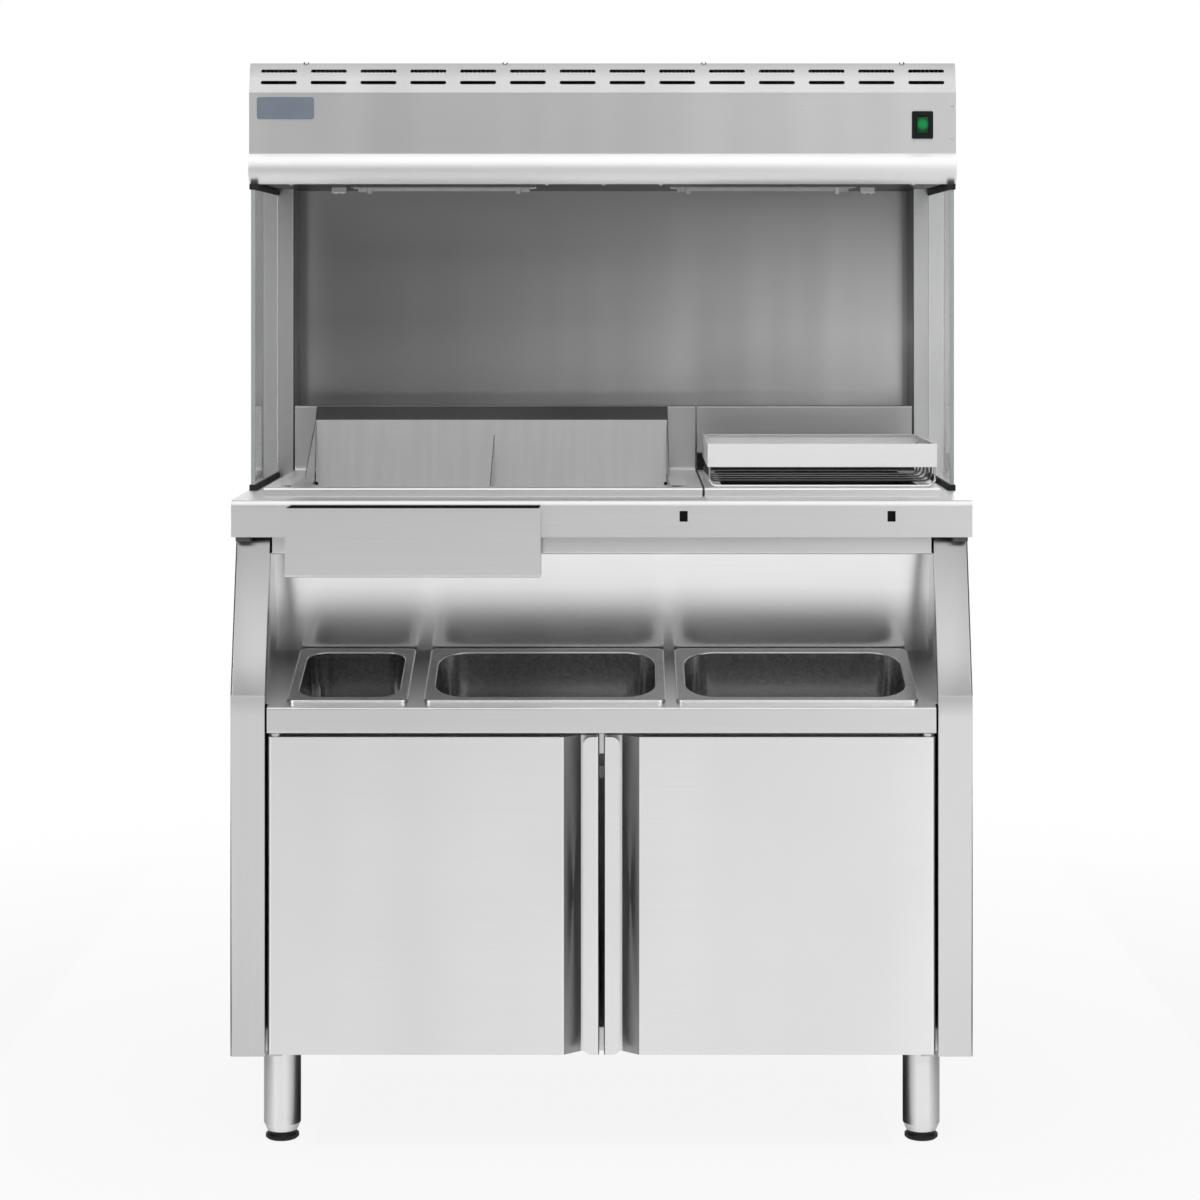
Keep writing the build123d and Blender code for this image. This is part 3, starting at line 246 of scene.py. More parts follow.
def studio_card(name, corners, level, far_level=None, through_glass=False):
    """A card that only reflections see, or also the glass; far_level grades it from left to right."""
    card, tree = stage_board(name, corners)
    card.visible_camera = False
    card.visible_shadow = False
    card.visible_transmission = through_glass
    nap = put(tree, "ShaderNodeBsdfDiffuse", {"Color": (level, level, level, 1)})
    if far_level is not None:
        graded = ramp(tree, reading(tree, "at", X), *GRADED_X, level, far_level)
        tree.links.new(graded, nap.inputs["Color"])
    put(tree, "ShaderNodeOutputMaterial", {"Surface": nap.outputs[0]})
    print("card:", name, "level", level)


def upright_x(x, y0, y1, z0, z1):
    return [(x, y0, z0), (x, y1, z0), (x, y1, z1), (x, y0, z1)]


def upright_y(y, x0, x1, z0, z1):
    return [(x0, y, z0), (x1, y, z0), (x1, y, z1), (x0, y, z1)]


studio_card("camera_card", upright_y(-4.9, -1.7, 0.85, 0.6, 2.6), 0.02, 0.90)
studio_card("left_card", upright_x(-2.9, -2.4, 2.0, 0.45, 3.2), 0.04)
studio_card("right_card", upright_x(2.9, -2.4, 2.0, 0.45, 3.2), 0.04)
studio_card("roof_card", flat(3.25, -2.9, 2.9, -3.4, 2.0), 0.05)
studio_card("under_felt", flat(FELT_Z, -0.39, 0.39, -0.27, 0.3), 0.12)
studio_card("glass_card", upright_y(1.1, -1.3, -0.60, 0.7, 1.5), 1.0, through_glass=True)
for side, edge in (("left", -1), ("right", 1)):
    studio_card(f"{side}_felt", flat(FELT_Z, edge * 0.90, edge * 2.8, -0.8, 1.6), 0.05)
studio_card("shelf_card", upright_y(-0.9, -0.7, 0.7, 0.815, 0.91), 0.03)


# %% [markdown]
# ## Effects that several finishes share
# Brushed sheet is covered in fine scratches that all run one way. Noise that is stretched along that way
# looks just like them, and the same noise can tint the metal, roughen it and lift it a little. A second
# group gives the cloudy marks of handling, and a third the close-set speckle of moulded plastic.

# %% Shared effect groups
PLACE = ("Place", "NodeSocketVector", (0, 0, 0))


def new_group(name, takes, gives):
    group = bpy.data.node_groups.new(name, "ShaderNodeTree")
    for label, kind, value in takes:
        socket = group.interface.new_socket(label, in_out="INPUT", socket_type=kind)
        socket.default_value = value
    for label in gives:
        group.interface.new_socket(label, in_out="OUTPUT", socket_type="NodeSocketFloat")
    return group, put(group, "NodeGroupInput").outputs


brushed_grain, takes = new_group(
    "brushed_grain", [PLACE, ("Stretch", "NodeSocketVector", (6, 300, 300))], ["Tone", "Height"])
run = vector_maths(brushed_grain, "MULTIPLY", takes["Place"], takes["Stretch"])
lines = noise(brushed_grain, run, 1.0, 4.0, 0.62)
broad = noise(brushed_grain, vector_maths(brushed_grain, "MULTIPLY", run, (0.22, 0.035, 0.035)), 1.0, 2.0)
both = put(brushed_grain, "ShaderNodeMix", {0: 0.4, 2: lines, 3: broad}, data_type="FLOAT").outputs[0]
put(brushed_grain, "NodeGroupOutput", {"Tone": ramp(brushed_grain, both, 0.3, 0.7), "Height": lines})

handling_marks, takes = new_group("handling_marks", [PLACE, ("Size", "NodeSocketFloat", 6.0)], ["Mask"])
cloud = noise(handling_marks, takes["Place"], takes["Size"], 2.0)
put(handling_marks, "NodeGroupOutput", {"Mask": ramp(handling_marks, cloud, 0.42, 0.72, curve="SMOOTHSTEP")})

moulded_speckle, takes = new_group(
    "moulded_speckle", [PLACE, ("Fineness", "NodeSocketFloat", 900.0)], ["Tone", "Height"])
grit = put(moulded_speckle, "ShaderNodeTexVoronoi", {"Vector": takes["Place"], "Scale": takes["Fineness"]},
           feature="F1")
wash = noise(moulded_speckle, takes["Place"], 35.0, 4.0)
put(moulded_speckle, "NodeGroupOutput", {"Tone": wash, "Height": grit.outputs["Distance"]})
print("groups:", [group.name for group in bpy.data.node_groups])

# %% [markdown]
# ## Painted light and shade over a piece
# Bare steel is never one even grey in a picture: faces turned from the light look dark, edges catch a
# highlight, and a long sheet shows a gradient of reflected light. Here that light and shade is painted into
# the colour. A painted picture could show it, but would stretch on every new shape, so each such place is
# found by rule: by where a spot is, by the way that it faces, or by both. A layer of painted light or shade
# is a tone and the ramps that say where it lies.

# %% Layers of painted light and shade
finishes = {}


def new_finish(name):
    """A blank material, kept under its name, as its tree and where its surface is."""
    finishes[name] = bpy.data.materials.new(name)
    tree = blank_tree(finishes[name])
    return tree, put(tree, "ShaderNodeTexCoord").outputs["Object"]


def end_finish(tree, looks):
    surface = put(tree, "ShaderNodeBsdfPrincipled", looks)
    put(tree, "ShaderNodeOutputMaterial", {"Surface": surface.outputs[0]})


def effect(tree, group, inputs):
    return put(tree, "ShaderNodeGroup", inputs, node_tree=group).outputs


def lifted(tree, strength, distance, height):
    return put(tree, "ShaderNodeBump", {
        "Strength": strength, "Distance": distance, "Height": height}).outputs[0]


def all_ramps(tree, ramps):
    """How far a spot lies inside all of the ramps: rows of what is read, its axis, start and stop."""
    share = None
    for reads, axis, start, stop in ramps:
        inside = ramp(tree, reading(tree, reads, axis), start, stop)
        share = inside if share is None else maths(tree, "MULTIPLY", share, inside)
    return share


# Lays each painted light or shade over the colour, where its ramps say.
def paint_light_and_shade(tree, colour, light_and_shade):
    for tone, *ramps in light_and_shade:
        colour = tint(tree, all_ramps(tree, ramps), colour, grey(tone))
    return colour


# %% [markdown]
# ## Brushed steel
# All the sheet is the same stainless steel, but each piece was cut and folded with its grain running its
# own way, and some pieces are handled more. One function makes the finish, and takes the grain's way, the
# two greys that the scratches swing between, and how polished the sheet is. The anisotropy smears
# reflections across the grain, which is what tells brushed steel from painted steel, and wide sheets also
# get faint upright streaks of painted reflection. The sunk wells below the trays get painted shade near
# their edge, where little light gets in, but not on the ledge that the insert rests on, and the splash above
# the trays a lighter painted shade.

# %% Brushed steel
TRAY_TOP, TRAY_FRONT = 0.8765, -0.179
GRAIN_ALONG = {"x": (5.0, 320.0, 320.0), "z": (320.0, 320.0, 5.0)}
MARK_SIZE, MARK_SHARE = 5.0, 0.25
BAND_SLANT = 0.08
SPLASH_SHADE, WELL_EDGE_SHADE, WELL_FLOOR_SHADE = 188, 48, 165


# Painted shade: the splash above the trays is darker, and the wells darkest near their edge, lighter towards
# the floor, but not on the insert's ledge.
def well_shade(tree, colour, edge):
    colour = paint_light_and_shade(tree, colour, [(SPLASH_SHADE, ("at", Z, TRAY_TOP + 0.001, TRAY_TOP + 0.006))])
    hollow = all_ramps(tree, [
        ("at", Z, edge, edge - 0.003), ("at", Y, TRAY_FRONT + 0.023, TRAY_FRONT + 0.027)])
    ledge = all_ramps(tree, [("faces", Z, 0.90, 0.95), ("at", Z, TRAY_TOP - 0.005, TRAY_TOP - 0.004)])
    hollow = maths(tree, "SUBTRACT", hollow, ledge, use_clamp=True)
    depth = ramp(tree, reading(tree, "at", Z), TRAY_TOP - 0.024, TRAY_TOP - 0.034)
    return tint(tree, hollow, colour, tint(tree, depth, grey(WELL_EDGE_SHADE), grey(WELL_FLOOR_SHADE)))


def brushed_steel(name, along, pale, deep, polish, bump=0.003, smear=0.86,
                  reflection_bands=None, light_and_shade=(), well_edge=None):
    tree, place = new_finish(name)
    grain = effect(tree, brushed_grain, {"Place": place, "Stretch": GRAIN_ALONG[along]})
    marks = effect(tree, handling_marks, {"Place": place, "Size": MARK_SIZE})["Mask"]
    colour = tint(tree, grain["Tone"], grey(deep), grey(pale))
    colour = tint(tree, maths(tree, "MULTIPLY", marks, MARK_SHARE), colour, grey(deep))
    # Painted reflection: faint upright streaks, as the studio shows in wide sheets.
    if reflection_bands:
        fineness, tone = reflection_bands
        drawn = vector_maths(tree, "MULTIPLY", place, (fineness, 0.0, fineness * BAND_SLANT))
        swept = ramp(tree, noise(tree, drawn, 1.0, 1.0), 0.36, 0.64, curve="SMOOTHSTEP")
        colour = tint(tree, swept, colour, grey(tone))
    colour = paint_light_and_shade(tree, colour, light_and_shade)
    if well_edge:
        colour = well_shade(tree, colour, well_edge)
    across = put(tree, "ShaderNodeTangent", direction_type="RADIAL", axis=along.upper())
    end_finish(tree, {
        "Base Color": colour, "Metallic": 1.0, "Roughness": ramp(tree, marks, 0.0, 1.0, *polish),
        "Anisotropic": smear, "Tangent": across.outputs[0],
        "Normal": lifted(tree, bump, 0.0004, grain["Height"])})


# %% [markdown]
# ## The steel of each piece
# Much of the light and shade on the steel is painted into its colour. The side panels' leaning flanges get
# painted shade towards the top and a painted shadow just under the fold at their foot, and the right panel
# a paler painted reflection. The posts and the back wall have painted shade to the left, the wall also
# towards its top and a painted highlight towards its foot, and the posts painted shade on their inner faces.
# The back of the bay has a darker painted reflection of the pans towards its foot. The pan shelf carries
# painted shade on its slope and a painted highlight towards its front edge, and the doors painted shade in
# their grips. The canopy has painted shade along its top and a painted highlight on its rolled lower edge,
# and its underside is painted dark all over, as the shade under the canopy. The scuttle insert has painted
# shade where it rakes and a painted highlight where it lies flat, and the rack's wires painted shade on all
# but the front one.

# %% Steel finishes
WIRE_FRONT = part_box("rack_wires")[0].y
FACING_FRONT, FACING_UP = ("faces", Y, -0.5, -0.7), ("faces", Z, 0.85, 0.93)
brushed_steel("cabinet_steel", "x", 226, 220, (0.33, 0.36))
# Painted reflection and shade: the right panel paler, a painted shadow just under the fold, painted shade
# towards the top.
brushed_steel("upright_steel", "z", 208, 204, (0.28, 0.31), light_and_shade=[
    (219, ("at", X, 0.30, 0.45)),
    (188, ("at", Z, 0.578, 0.600), FACING_FRONT),
    (208, ("at", Z, 0.6055, 0.607), FACING_FRONT),
    (172, ("at", Z, 0.66, 0.80), FACING_FRONT)])
# Painted shade: the left post darker, and the posts' inner faces dark.
brushed_steel("post_steel", "x", 228, 223, (0.28, 0.31), light_and_shade=[
    (178, ("at", X, 0.0, -0.40)), (84, ("outward", X, -0.20, -0.30))])
# Painted reflection of the pans: darker towards the bay's foot.
brushed_steel("bay_steel", "x", 242, 237, (0.21, 0.23), smear=0.80, light_and_shade=[(200, ("at", Z, 0.735, 0.69))])
# Painted shade on the shelf's slope, and a painted highlight towards its front edge.
brushed_steel("shelf_steel", "x", 224, 218, (0.28, 0.31), light_and_shade=[
    (122, ("tilts", Z, 0.84, 0.90)), (242, ("at", Z, 0.636, 0.594), FACING_UP)])
# Painted reflection streaks, and painted shade on the slanted faces of the grips.
brushed_steel("door_steel", "x", 244, 239, (0.36, 0.39), reflection_bands=(5.0, 236), light_and_shade=[
    (165, ("tilts", X, 0.49, 0.55))])
brushed_steel("worktop_steel", "x", 226, 220, (0.33, 0.36), bump=0.002)
# Painted reflection streaks, painted shade along the top, and a painted highlight on the rolled lower edge.
brushed_steel("canopy_steel", "x", 212, 206, (0.34, 0.37), reflection_bands=(9.0, 202), light_and_shade=[
    (180, ("at", Z, 1.447, 1.468)), (234, ("at", Z, 1.3425, 1.3405))])
# Painted reflection streaks, painted shade to the left and towards the top, and a painted highlight towards
# the foot.
brushed_steel("wall_steel", "x", 226, 220, (0.28, 0.30), bump=0.002, reflection_bands=(11.0, 204), light_and_shade=[
    (146, ("at", X, 0.40, -0.38)), (168, ("at", Z, 1.08, 1.30)), (240, ("at", Z, 1.10, 0.60))])
# Painted shade: the canopy's underside is a dark copy of the steel, for the shade under the canopy.
brushed_steel("shaded_underside_steel", "x", 84, 78, (0.30, 0.34))
brushed_steel("rack_steel", "x", 253, 250, (0.66, 0.72), smear=0.3)
# Painted shade on every wire behind the front one.
brushed_steel("wire_steel", "x", 244, 236, (0.16, 0.20), smear=0.2, light_and_shade=[
    (104, ("at", Y, WIRE_FRONT + 0.004, WIRE_FRONT + 0.010))])
# Painted reflection streaks, painted shade where the insert rakes and a painted highlight where it lies flat.
brushed_steel("insert_steel", "x", 196, 191, (0.30, 0.33), reflection_bands=(70.0, 190), light_and_shade=[
    (115, ("tilts", Z, 0.39, 0.45), ("tilts", Z, 0.86, 0.80)), (240, ("faces", Z, 0.93, 0.97))])
for name, edge in (("well_steel", 0.8740), ("rack_well_steel", 0.9040)):
    brushed_steel(name, "x", 236, 230, (0.30, 0.33), bump=0.002, well_edge=edge)
print("brushed steel:", sorted(finishes))


# %% [markdown]
# ## Drawn, turned and polished metal
# Pans are drawn from one blank: their grain is stretched flat and only a soft cloudy satin is left, with
# painted shade in the bowl, below the level of the rim, and a painted highlight on the front lip. Both
# levels are measured along the tilt of the shelf. Leg tubes are satin, with painted shade towards their
# sides. Small fittings are zinc plated, and the heater reflectors are bright aluminium.

# %% Drawn and plated metal
def satin_metal(name, pale, deep, polish, cloud_size, fine_size, bump, light_and_shade=()):
    tree, place = new_finish(name)
    cloud = effect(tree, handling_marks, {"Place": place, "Size": cloud_size})["Mask"]
    fine = noise(tree, place, fine_size, 3.0)
    colour = tint(tree, maths(tree, "MULTIPLY", cloud, fine), pale, deep)
    end_finish(tree, {
        "Base Color": paint_light_and_shade(tree, colour, light_and_shade), "Metallic": 1.0,
        "Roughness": ramp(tree, fine, 0.3, 0.7, *polish), "Normal": lifted(tree, bump, 0.0004, fine)})


SHELF_TILT = math.radians(16.0)
SHELF_NORMAL = (0.0, -math.sin(SHELF_TILT), math.cos(SHELF_TILT))
UPHILL = (0.0, math.cos(SHELF_TILT), math.sin(SHELF_TILT))
PAN_DEEP = 0.176
pan_low, pan_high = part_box("pan_middle")
RIM_LEVEL = Vector(SHELF_NORMAL).dot(pan_high) - 0.0045
LIP_LEVEL = pan_low.y * UPHILL[1] + (pan_high.z - PAN_DEEP * UPHILL[2]) * UPHILL[2]
# Painted shade in the bowl, and a painted highlight on the front lip.
satin_metal("pan_steel", grey(202), grey(192), (0.17, 0.25), 9.0, 220.0, 0.006, light_and_shade=[
    (192, ("along", SHELF_NORMAL, RIM_LEVEL, RIM_LEVEL - 0.004)),
    (248, ("along", UPHILL, LIP_LEVEL + 0.0035, LIP_LEVEL + 0.0030))])
# Painted shade towards the sides of each tube.
satin_metal("leg_steel", grey(238), grey(222), (0.32, 0.40), 18.0, 400.0, 0.01, light_and_shade=[
    (132, ("tilts", X, 0.30, 1.0))])
satin_metal("zinc_plate", (0.62, 0.63, 0.66, 1), (0.42, 0.44, 0.47, 1), (0.25, 0.45), 60.0, 900.0, 0.05)
satin_metal("reflector", grey(232), grey(214), (0.08, 0.16), 30.0, 400.0, 0.01)
print("drawn and plated:", list(finishes)[-4:])


# %% [markdown]
# ## Plastic, rubber, glass and the lit rocker
# Black plastic and rubber are never quite black nor quite even: a speckle breaks up the gloss. The side
# glass is clear float glass with a faint grey-green body and a trace of wiping marks, and the heater tubes
# are milky quartz. The rocker is clear green plastic with a small lamp behind it, so it glows by itself.

# %% Plastic and rubber
def moulded(name, pale, deep, polish, fineness, bump, coat=0.0, shine=0.5):
    tree, place = new_finish(name)
    skin = effect(tree, moulded_speckle, {"Place": place, "Fineness": fineness})
    end_finish(tree, {
        "Base Color": tint(tree, skin["Tone"], (*deep, 1), (*pale, 1)),
        "Roughness": ramp(tree, skin["Tone"], 0.3, 0.7, *polish),
        "Normal": lifted(tree, bump, 0.0003, skin["Height"]),
        "Coat Weight": coat, "Coat Roughness": 0.12, "Specular IOR Level": shine})


moulded("black_plastic", (0.030, 0.030, 0.032), (0.012, 0.012, 0.013), (0.38, 0.55), 1400.0, 0.25, shine=0.25)
moulded("channel_rubber", (0.060, 0.060, 0.060), (0.032, 0.032, 0.032), (0.60, 0.80), 1800.0, 0.30)
moulded("switch_black", (0.020, 0.020, 0.021), (0.008, 0.008, 0.009), (0.30, 0.42), 2400.0, 0.10, shine=0.15)
moulded("catch_plastic", (0.80, 0.80, 0.80), (0.72, 0.72, 0.72), (0.45, 0.60), 1200.0, 0.20)
moulded("grey_plastic", (0.42, 0.43, 0.44), (0.33, 0.34, 0.35), (0.42, 0.58), 1200.0, 0.25)
print("moulded:", list(finishes)[-5:])


# %% Glass and the rocker
def clear_glass(name, clean, wiped, polish, mark_size, clear=1.0):
    tree, place = new_finish(name)
    marks = effect(tree, handling_marks, {"Place": place, "Size": mark_size})["Mask"]
    end_finish(tree, {
        "Base Color": tint(tree, marks, (*clean, 1), (*wiped, 1)),
        "Roughness": ramp(tree, marks, 0.0, 1.0, *polish), "Metallic": 0.0, "IOR": 1.5,
        "Transmission Weight": clear})


def lit_rocker(name, lamp_at):
    tree, place = new_finish(name)
    skin = effect(tree, moulded_speckle, {"Place": place, "Fineness": 700.0})
    body_tone = tint(tree, skin["Tone"], (0.0, 0.012, 0.004, 1), (0.0, 0.05, 0.014, 1))
    away = vector_maths(tree, "DISTANCE", place, tuple(lamp_at))
    lamp = ramp(tree, away, 0.0105, 0.003, 0.0, 0.8, "SMOOTHSTEP")
    colour = tint(tree, lamp, body_tone, (0.004, 0.25, 0.06, 1))
    end_finish(tree, {"Base Color": colour, "Roughness": 0.22, "Emission Color": colour,
                      "Emission Strength": 0.6, "Specular IOR Level": 0.2})


clear_glass("side_glass", (0.93, 0.95, 0.94), (0.90, 0.92, 0.91), (0.0, 0.02), 9.0)
clear_glass("heater_quartz", (0.95, 0.95, 0.94), (0.90, 0.90, 0.88), (0.05, 0.18), 60.0, clear=0.25)
rocker_low, rocker_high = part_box("switch_rocker")
middle = (rocker_low + rocker_high) / 2
lit_rocker("switch_green", (middle.x, rocker_low.y, middle.z + 0.001))
print("finishes:", len(finishes))

# %% [markdown]
# ## Dressing the CAD pieces
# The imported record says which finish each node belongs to. Pieces that were cut another way from the sheet,
# or that the light reaches differently, take a finish of their own.

# %% Finishes on the nodes
OWN_FINISH = {
    "upright_steel": ("side_panel_left", "side_panel_right"),
    "post_steel": ("post_left", "post_right"),
    "bay_steel": ("bay_back_panel",),
    "shelf_steel": ("pan_shelf", "bay_side_left", "bay_side_right"),
    "wall_steel": ("back_wall",),
    "shaded_underside_steel": ("canopy_underside",),
    "insert_steel": ("scuttle_insert", "scuttle_divider"),
    "well_steel": ("scuttle_well",),
    "rack_well_steel": ("rack_well",),
    "wire_steel": ("rack_wires",),
    "catch_plastic": ("door_catch",),
}
own = {node: finish for finish, group in OWN_FINISH.items() for node in group}
slot_of = {row["node"]: row["material_slot"] for row in frame["record"]["subparts"]}
for name, piece in nodes.items():
    for held in piece.material_slots:
        held.material = finishes[own.get(name, slot_of[name])]
print("dressed:", len(nodes), "nodes in", len(set(slot_of.values())), "slots")

# %% [markdown]
# ## Turning a node tree's result into a plain piece
# Small things that repeat are set out by Geometry Nodes: a handful of points goes in, and a row of screws
# comes out. A finished piece must be an ordinary mesh, so each tree is evaluated once, kept as a mesh and
# let go.

# %% Geometry Nodes helpers
REAR, DOWN, UP, FRONT, RIGHT = (0, 1, 0), (0, 0, -1), (0, 0, 1), (0, -1, 0), (1, 0, 0)


def new_geometry_tree(name, sizes):
    """An empty tree with a named input for each size and for the finish, and what it takes in."""
    tree = bpy.data.node_groups.new(name, "GeometryNodeTree")
    tree.interface.new_socket("Geometry", in_out="INPUT", socket_type="NodeSocketGeometry")
    for label, value in sizes.items():
        socket = tree.interface.new_socket(label, in_out="INPUT", socket_type="NodeSocketFloat")
        socket.default_value = value
    tree.interface.new_socket("Finish", in_out="INPUT", socket_type="NodeSocketMaterial")
    tree.interface.new_socket("Geometry", in_out="OUTPUT", socket_type="NodeSocketGeometry")
    return tree, put(tree, "NodeGroupInput").outputs


def set_out(tree, takes, shape, **more):
    """Ends a tree: the shape goes on every point, turned to face the way that the point says."""
    way = put(tree, "GeometryNodeInputNamedAttribute", {"Name": "facing"}, data_type="FLOAT_VECTOR")
    turned = put(tree, "FunctionNodeAlignRotationToVector", {"Vector": way.outputs[0]}, axis="Z")
    spread = put(tree, "GeometryNodeInstanceOnPoints", {
        "Points": takes["Geometry"], "Instance": shape, "Rotation": turned.outputs[0], **more})
    real = put(tree, "GeometryNodeRealizeInstances", {"Geometry": spread.outputs[0]})
    dressed = put(tree, "GeometryNodeSetMaterial", {"Geometry": real.outputs[0], "Material": takes["Finish"]})
    put(tree, "NodeGroupOutput", {0: dressed.outputs[0]})
    print("tree:", tree.name, len(tree.nodes), "nodes")


def grow(name, tree, points, way, finish, sizes, body):
    """A mesh grown by a tree from loose points that all face one way."""
    mesh = bpy.data.meshes.new(name)
    mesh.from_pydata([tuple(point) for point in points], [], [])
    facing = mesh.attributes.new("facing", "FLOAT_VECTOR", "POINT")
    for point in facing.data:
        point.vector = way
    piece = bpy.data.objects.new(name, mesh)
    scene.collection.objects.link(piece)
    modifier = piece.modifiers.new(name, "NODES")
    modifier.node_group = tree
    values = {**sizes, "Finish": finishes[finish]}
    for socket in tree.interface.items_tree:
        if socket.in_out == "INPUT" and socket.name in values:
            modifier[socket.identifier] = values[socket.name]
    depsgraph = bpy.context.evaluated_depsgraph_get()
    grown = bpy.data.meshes.new_from_object(piece.evaluated_get(depsgraph))
    piece.modifiers.clear()
    piece.data = grown
    grown.name = name
    bpy.data.meshes.remove(mesh)
    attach(piece, body)
    print("grown:", name, len(grown.polygons), "faces on", body)


# %% [markdown]
# ## Screws
# A sheet-metal cabinet is held by rows of small cross-recess screws. One tree cuts a cross into a low cone
# and sets it on every point, turned to face the way that the point's sheet faces.

# %% Screw tree
screw_tree, takes = new_geometry_tree("cross_screws", {
    "Head Radius": 0.0035, "Head Height": 0.0018, "Recess": 0.0011})
crown = maths(screw_tree, "MULTIPLY", takes["Head Radius"], 0.72)
head = put(screw_tree, "GeometryNodeMeshCone", {
    "Vertices": 20, "Side Segments": 2, "Radius Top": crown, "Radius Bottom": takes["Head Radius"],
    "Depth": takes["Head Height"]})
arm = maths(screw_tree, "MULTIPLY", takes["Head Radius"], 1.1)
bar = put(screw_tree, "GeometryNodeMeshCube", {
    "Size": vector(screw_tree, {0: arm, 1: takes["Recess"], 2: takes["Head Height"]})})
rise = vector(screw_tree, {2: takes["Head Height"]})
shape = head.outputs[0]
for turn in (0, math.radians(90)):
    cutter = put(screw_tree, "GeometryNodeTransform", {
        "Geometry": bar.outputs[0], "Translation": rise, "Rotation": (0, 0, turn)})
    shape = put(screw_tree, "GeometryNodeMeshBoolean", {"Mesh 1": shape, "Mesh 2": cutter.outputs[0]},
                operation="DIFFERENCE").outputs[0]
set_out(screw_tree, takes, shape)

# %% Rows of screws
EDGE_INSET, CORNER_GAP, LIP_INSET = 0.012, 0.13, 0.0155
LIP_ROWS = ((-0.079, 0.082, 3), (-0.44, 0.44, 2))


def row(start, end, count):
    start, end = Vector(start), Vector(end)
    return [start.lerp(end, index / (count - 1)) for index in range(count)]


def level_rows(low, high, inset, count):
    """A row along the top of a rear sheet and one along its foot."""
    return [spot for z in (high.z - inset, low.z + inset)
            for spot in row((low.x + EDGE_INSET, high.y, z), (high.x - EDGE_INSET, high.y, z), count)]


def screws(name, points, way, radius):
    sizes = {"Head Radius": radius, "Head Height": radius * 0.5, "Recess": radius * 0.3}
    grow(name, screw_tree, points, way, "zinc_plate", sizes, "cabinet")


panel_low, panel_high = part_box("back_panel")
rear_points = level_rows(panel_low, panel_high, EDGE_INSET, 9)
for x in (panel_low.x + EDGE_INSET, panel_high.x - EDGE_INSET):
    rear_points += row((x, panel_high.y, panel_low.z + CORNER_GAP),
                       (x, panel_high.y, panel_high.z - CORNER_GAP), 4)
screws("rear_panel_screws", rear_points, REAR, 0.0038)
cover_low, cover_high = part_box("canopy_rear_cover")
screws("rear_cover_screws", level_rows(cover_low, cover_high, 0.010, 7), REAR, 0.0034)
lip_low, lip_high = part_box("canopy_shell")
lip_y = lip_low.y + LIP_INSET
lip_points = [spot for x0, x1, count in LIP_ROWS
              for spot in row((x0, lip_y, lip_low.z), (x1, lip_y, lip_low.z), count)]
screws("canopy_lip_screws", lip_points, DOWN, 0.0034)

# %% [markdown]
# ## Rivets and weld beads
# Where nobody needs to get in again, sheets are riveted: four rivets on the canopy's top sheet and two by
# its right end are plain domes. The rack's wires end in small beads of weld. The same idea serves for both,
# with a squashed ball in place of the cut cone.

# %% Rivets and weld beads
bead_tree, takes = new_geometry_tree("round_beads", {"Radius": 0.003, "Flatness": 0.5})
ball = put(bead_tree, "GeometryNodeMeshUVSphere", {"Segments": 12, "Rings": 8, "Radius": takes["Radius"]})
round_ball = put(bead_tree, "GeometryNodeSetShadeSmooth", {"Geometry": ball.outputs[0]})
squash = vector(bead_tree, {0: 1.0, 1: 1.0, 2: takes["Flatness"]})
set_out(bead_tree, takes, round_ball.outputs[0], Scale=squash)

TOP_RIVET_X, TOP_RIVET_Y = (-0.4206, -0.1384, 0.1438, 0.4246), -0.045
grow("canopy_top_rivets", bead_tree, [(x, TOP_RIVET_Y, lip_high.z) for x in TOP_RIVET_X], UP, "reflector",
     {"Radius": 0.0045, "Flatness": 0.6}, "cabinet")
FACE_Y, END_RIVET_X, END_RIVET_Z = -0.062, 0.4945, (1.4084, 1.3617)
grow("canopy_end_rivets", bead_tree, [(END_RIVET_X, FACE_Y, z) for z in END_RIVET_Z], FRONT, "canopy_steel",
     {"Radius": 0.0020, "Flatness": 0.4}, "cabinet")

WIRE_RADIUS, WIRE_COUNT, WELD_RISES = 0.0015, 6, (0.004, 0.016)
band_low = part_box("rack_band")[0]
wires_low, wires_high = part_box("rack_wires")
wire_pitch = (wires_high.y - wires_low.y - 2 * WIRE_RADIUS) / (WIRE_COUNT - 1)
weld_points = [(x, wires_low.y + WIRE_RADIUS + index * wire_pitch, band_low.z + rise)
               for index in range(WIRE_COUNT)
               for x in (wires_low.x + WIRE_RADIUS, wires_high.x - WIRE_RADIUS) for rise in WELD_RISES]
grow("rack_weld_beads", bead_tree, weld_points, UP, "rack_steel",
     {"Radius": 0.0023, "Flatness": 1.5}, "wire_rack")


# %% [markdown]
# ## The blank plate on the canopy
# A small bare plate in satin grey-blue is fixed to the canopy's upper left corner. A rounded outline is
# drawn as one ring, pulled out to a thin plate and its front edge is bevelled, so it catches light. The
# same rounded plate serves for every flat fitting that follows.

# %% Rounded plates
def keep(name, builder, finish, body, smooth=False):
    """Makes a piece from a bmesh, with its faces turned outwards, and lets it ride on a body."""
    bmesh.ops.remove_doubles(builder, verts=builder.verts, dist=1e-6)
    bmesh.ops.recalc_face_normals(builder, faces=builder.faces)
    mesh = bpy.data.meshes.new(name)
    for face in builder.faces:
        face.smooth = smooth
    builder.to_mesh(mesh)
    builder.free()
    mesh.materials.append(finishes[finish])
    piece = bpy.data.objects.new(name, mesh)
    scene.collection.objects.link(piece)
    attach(piece, body)
    print("made:", name, len(mesh.polygons), "faces on", body)


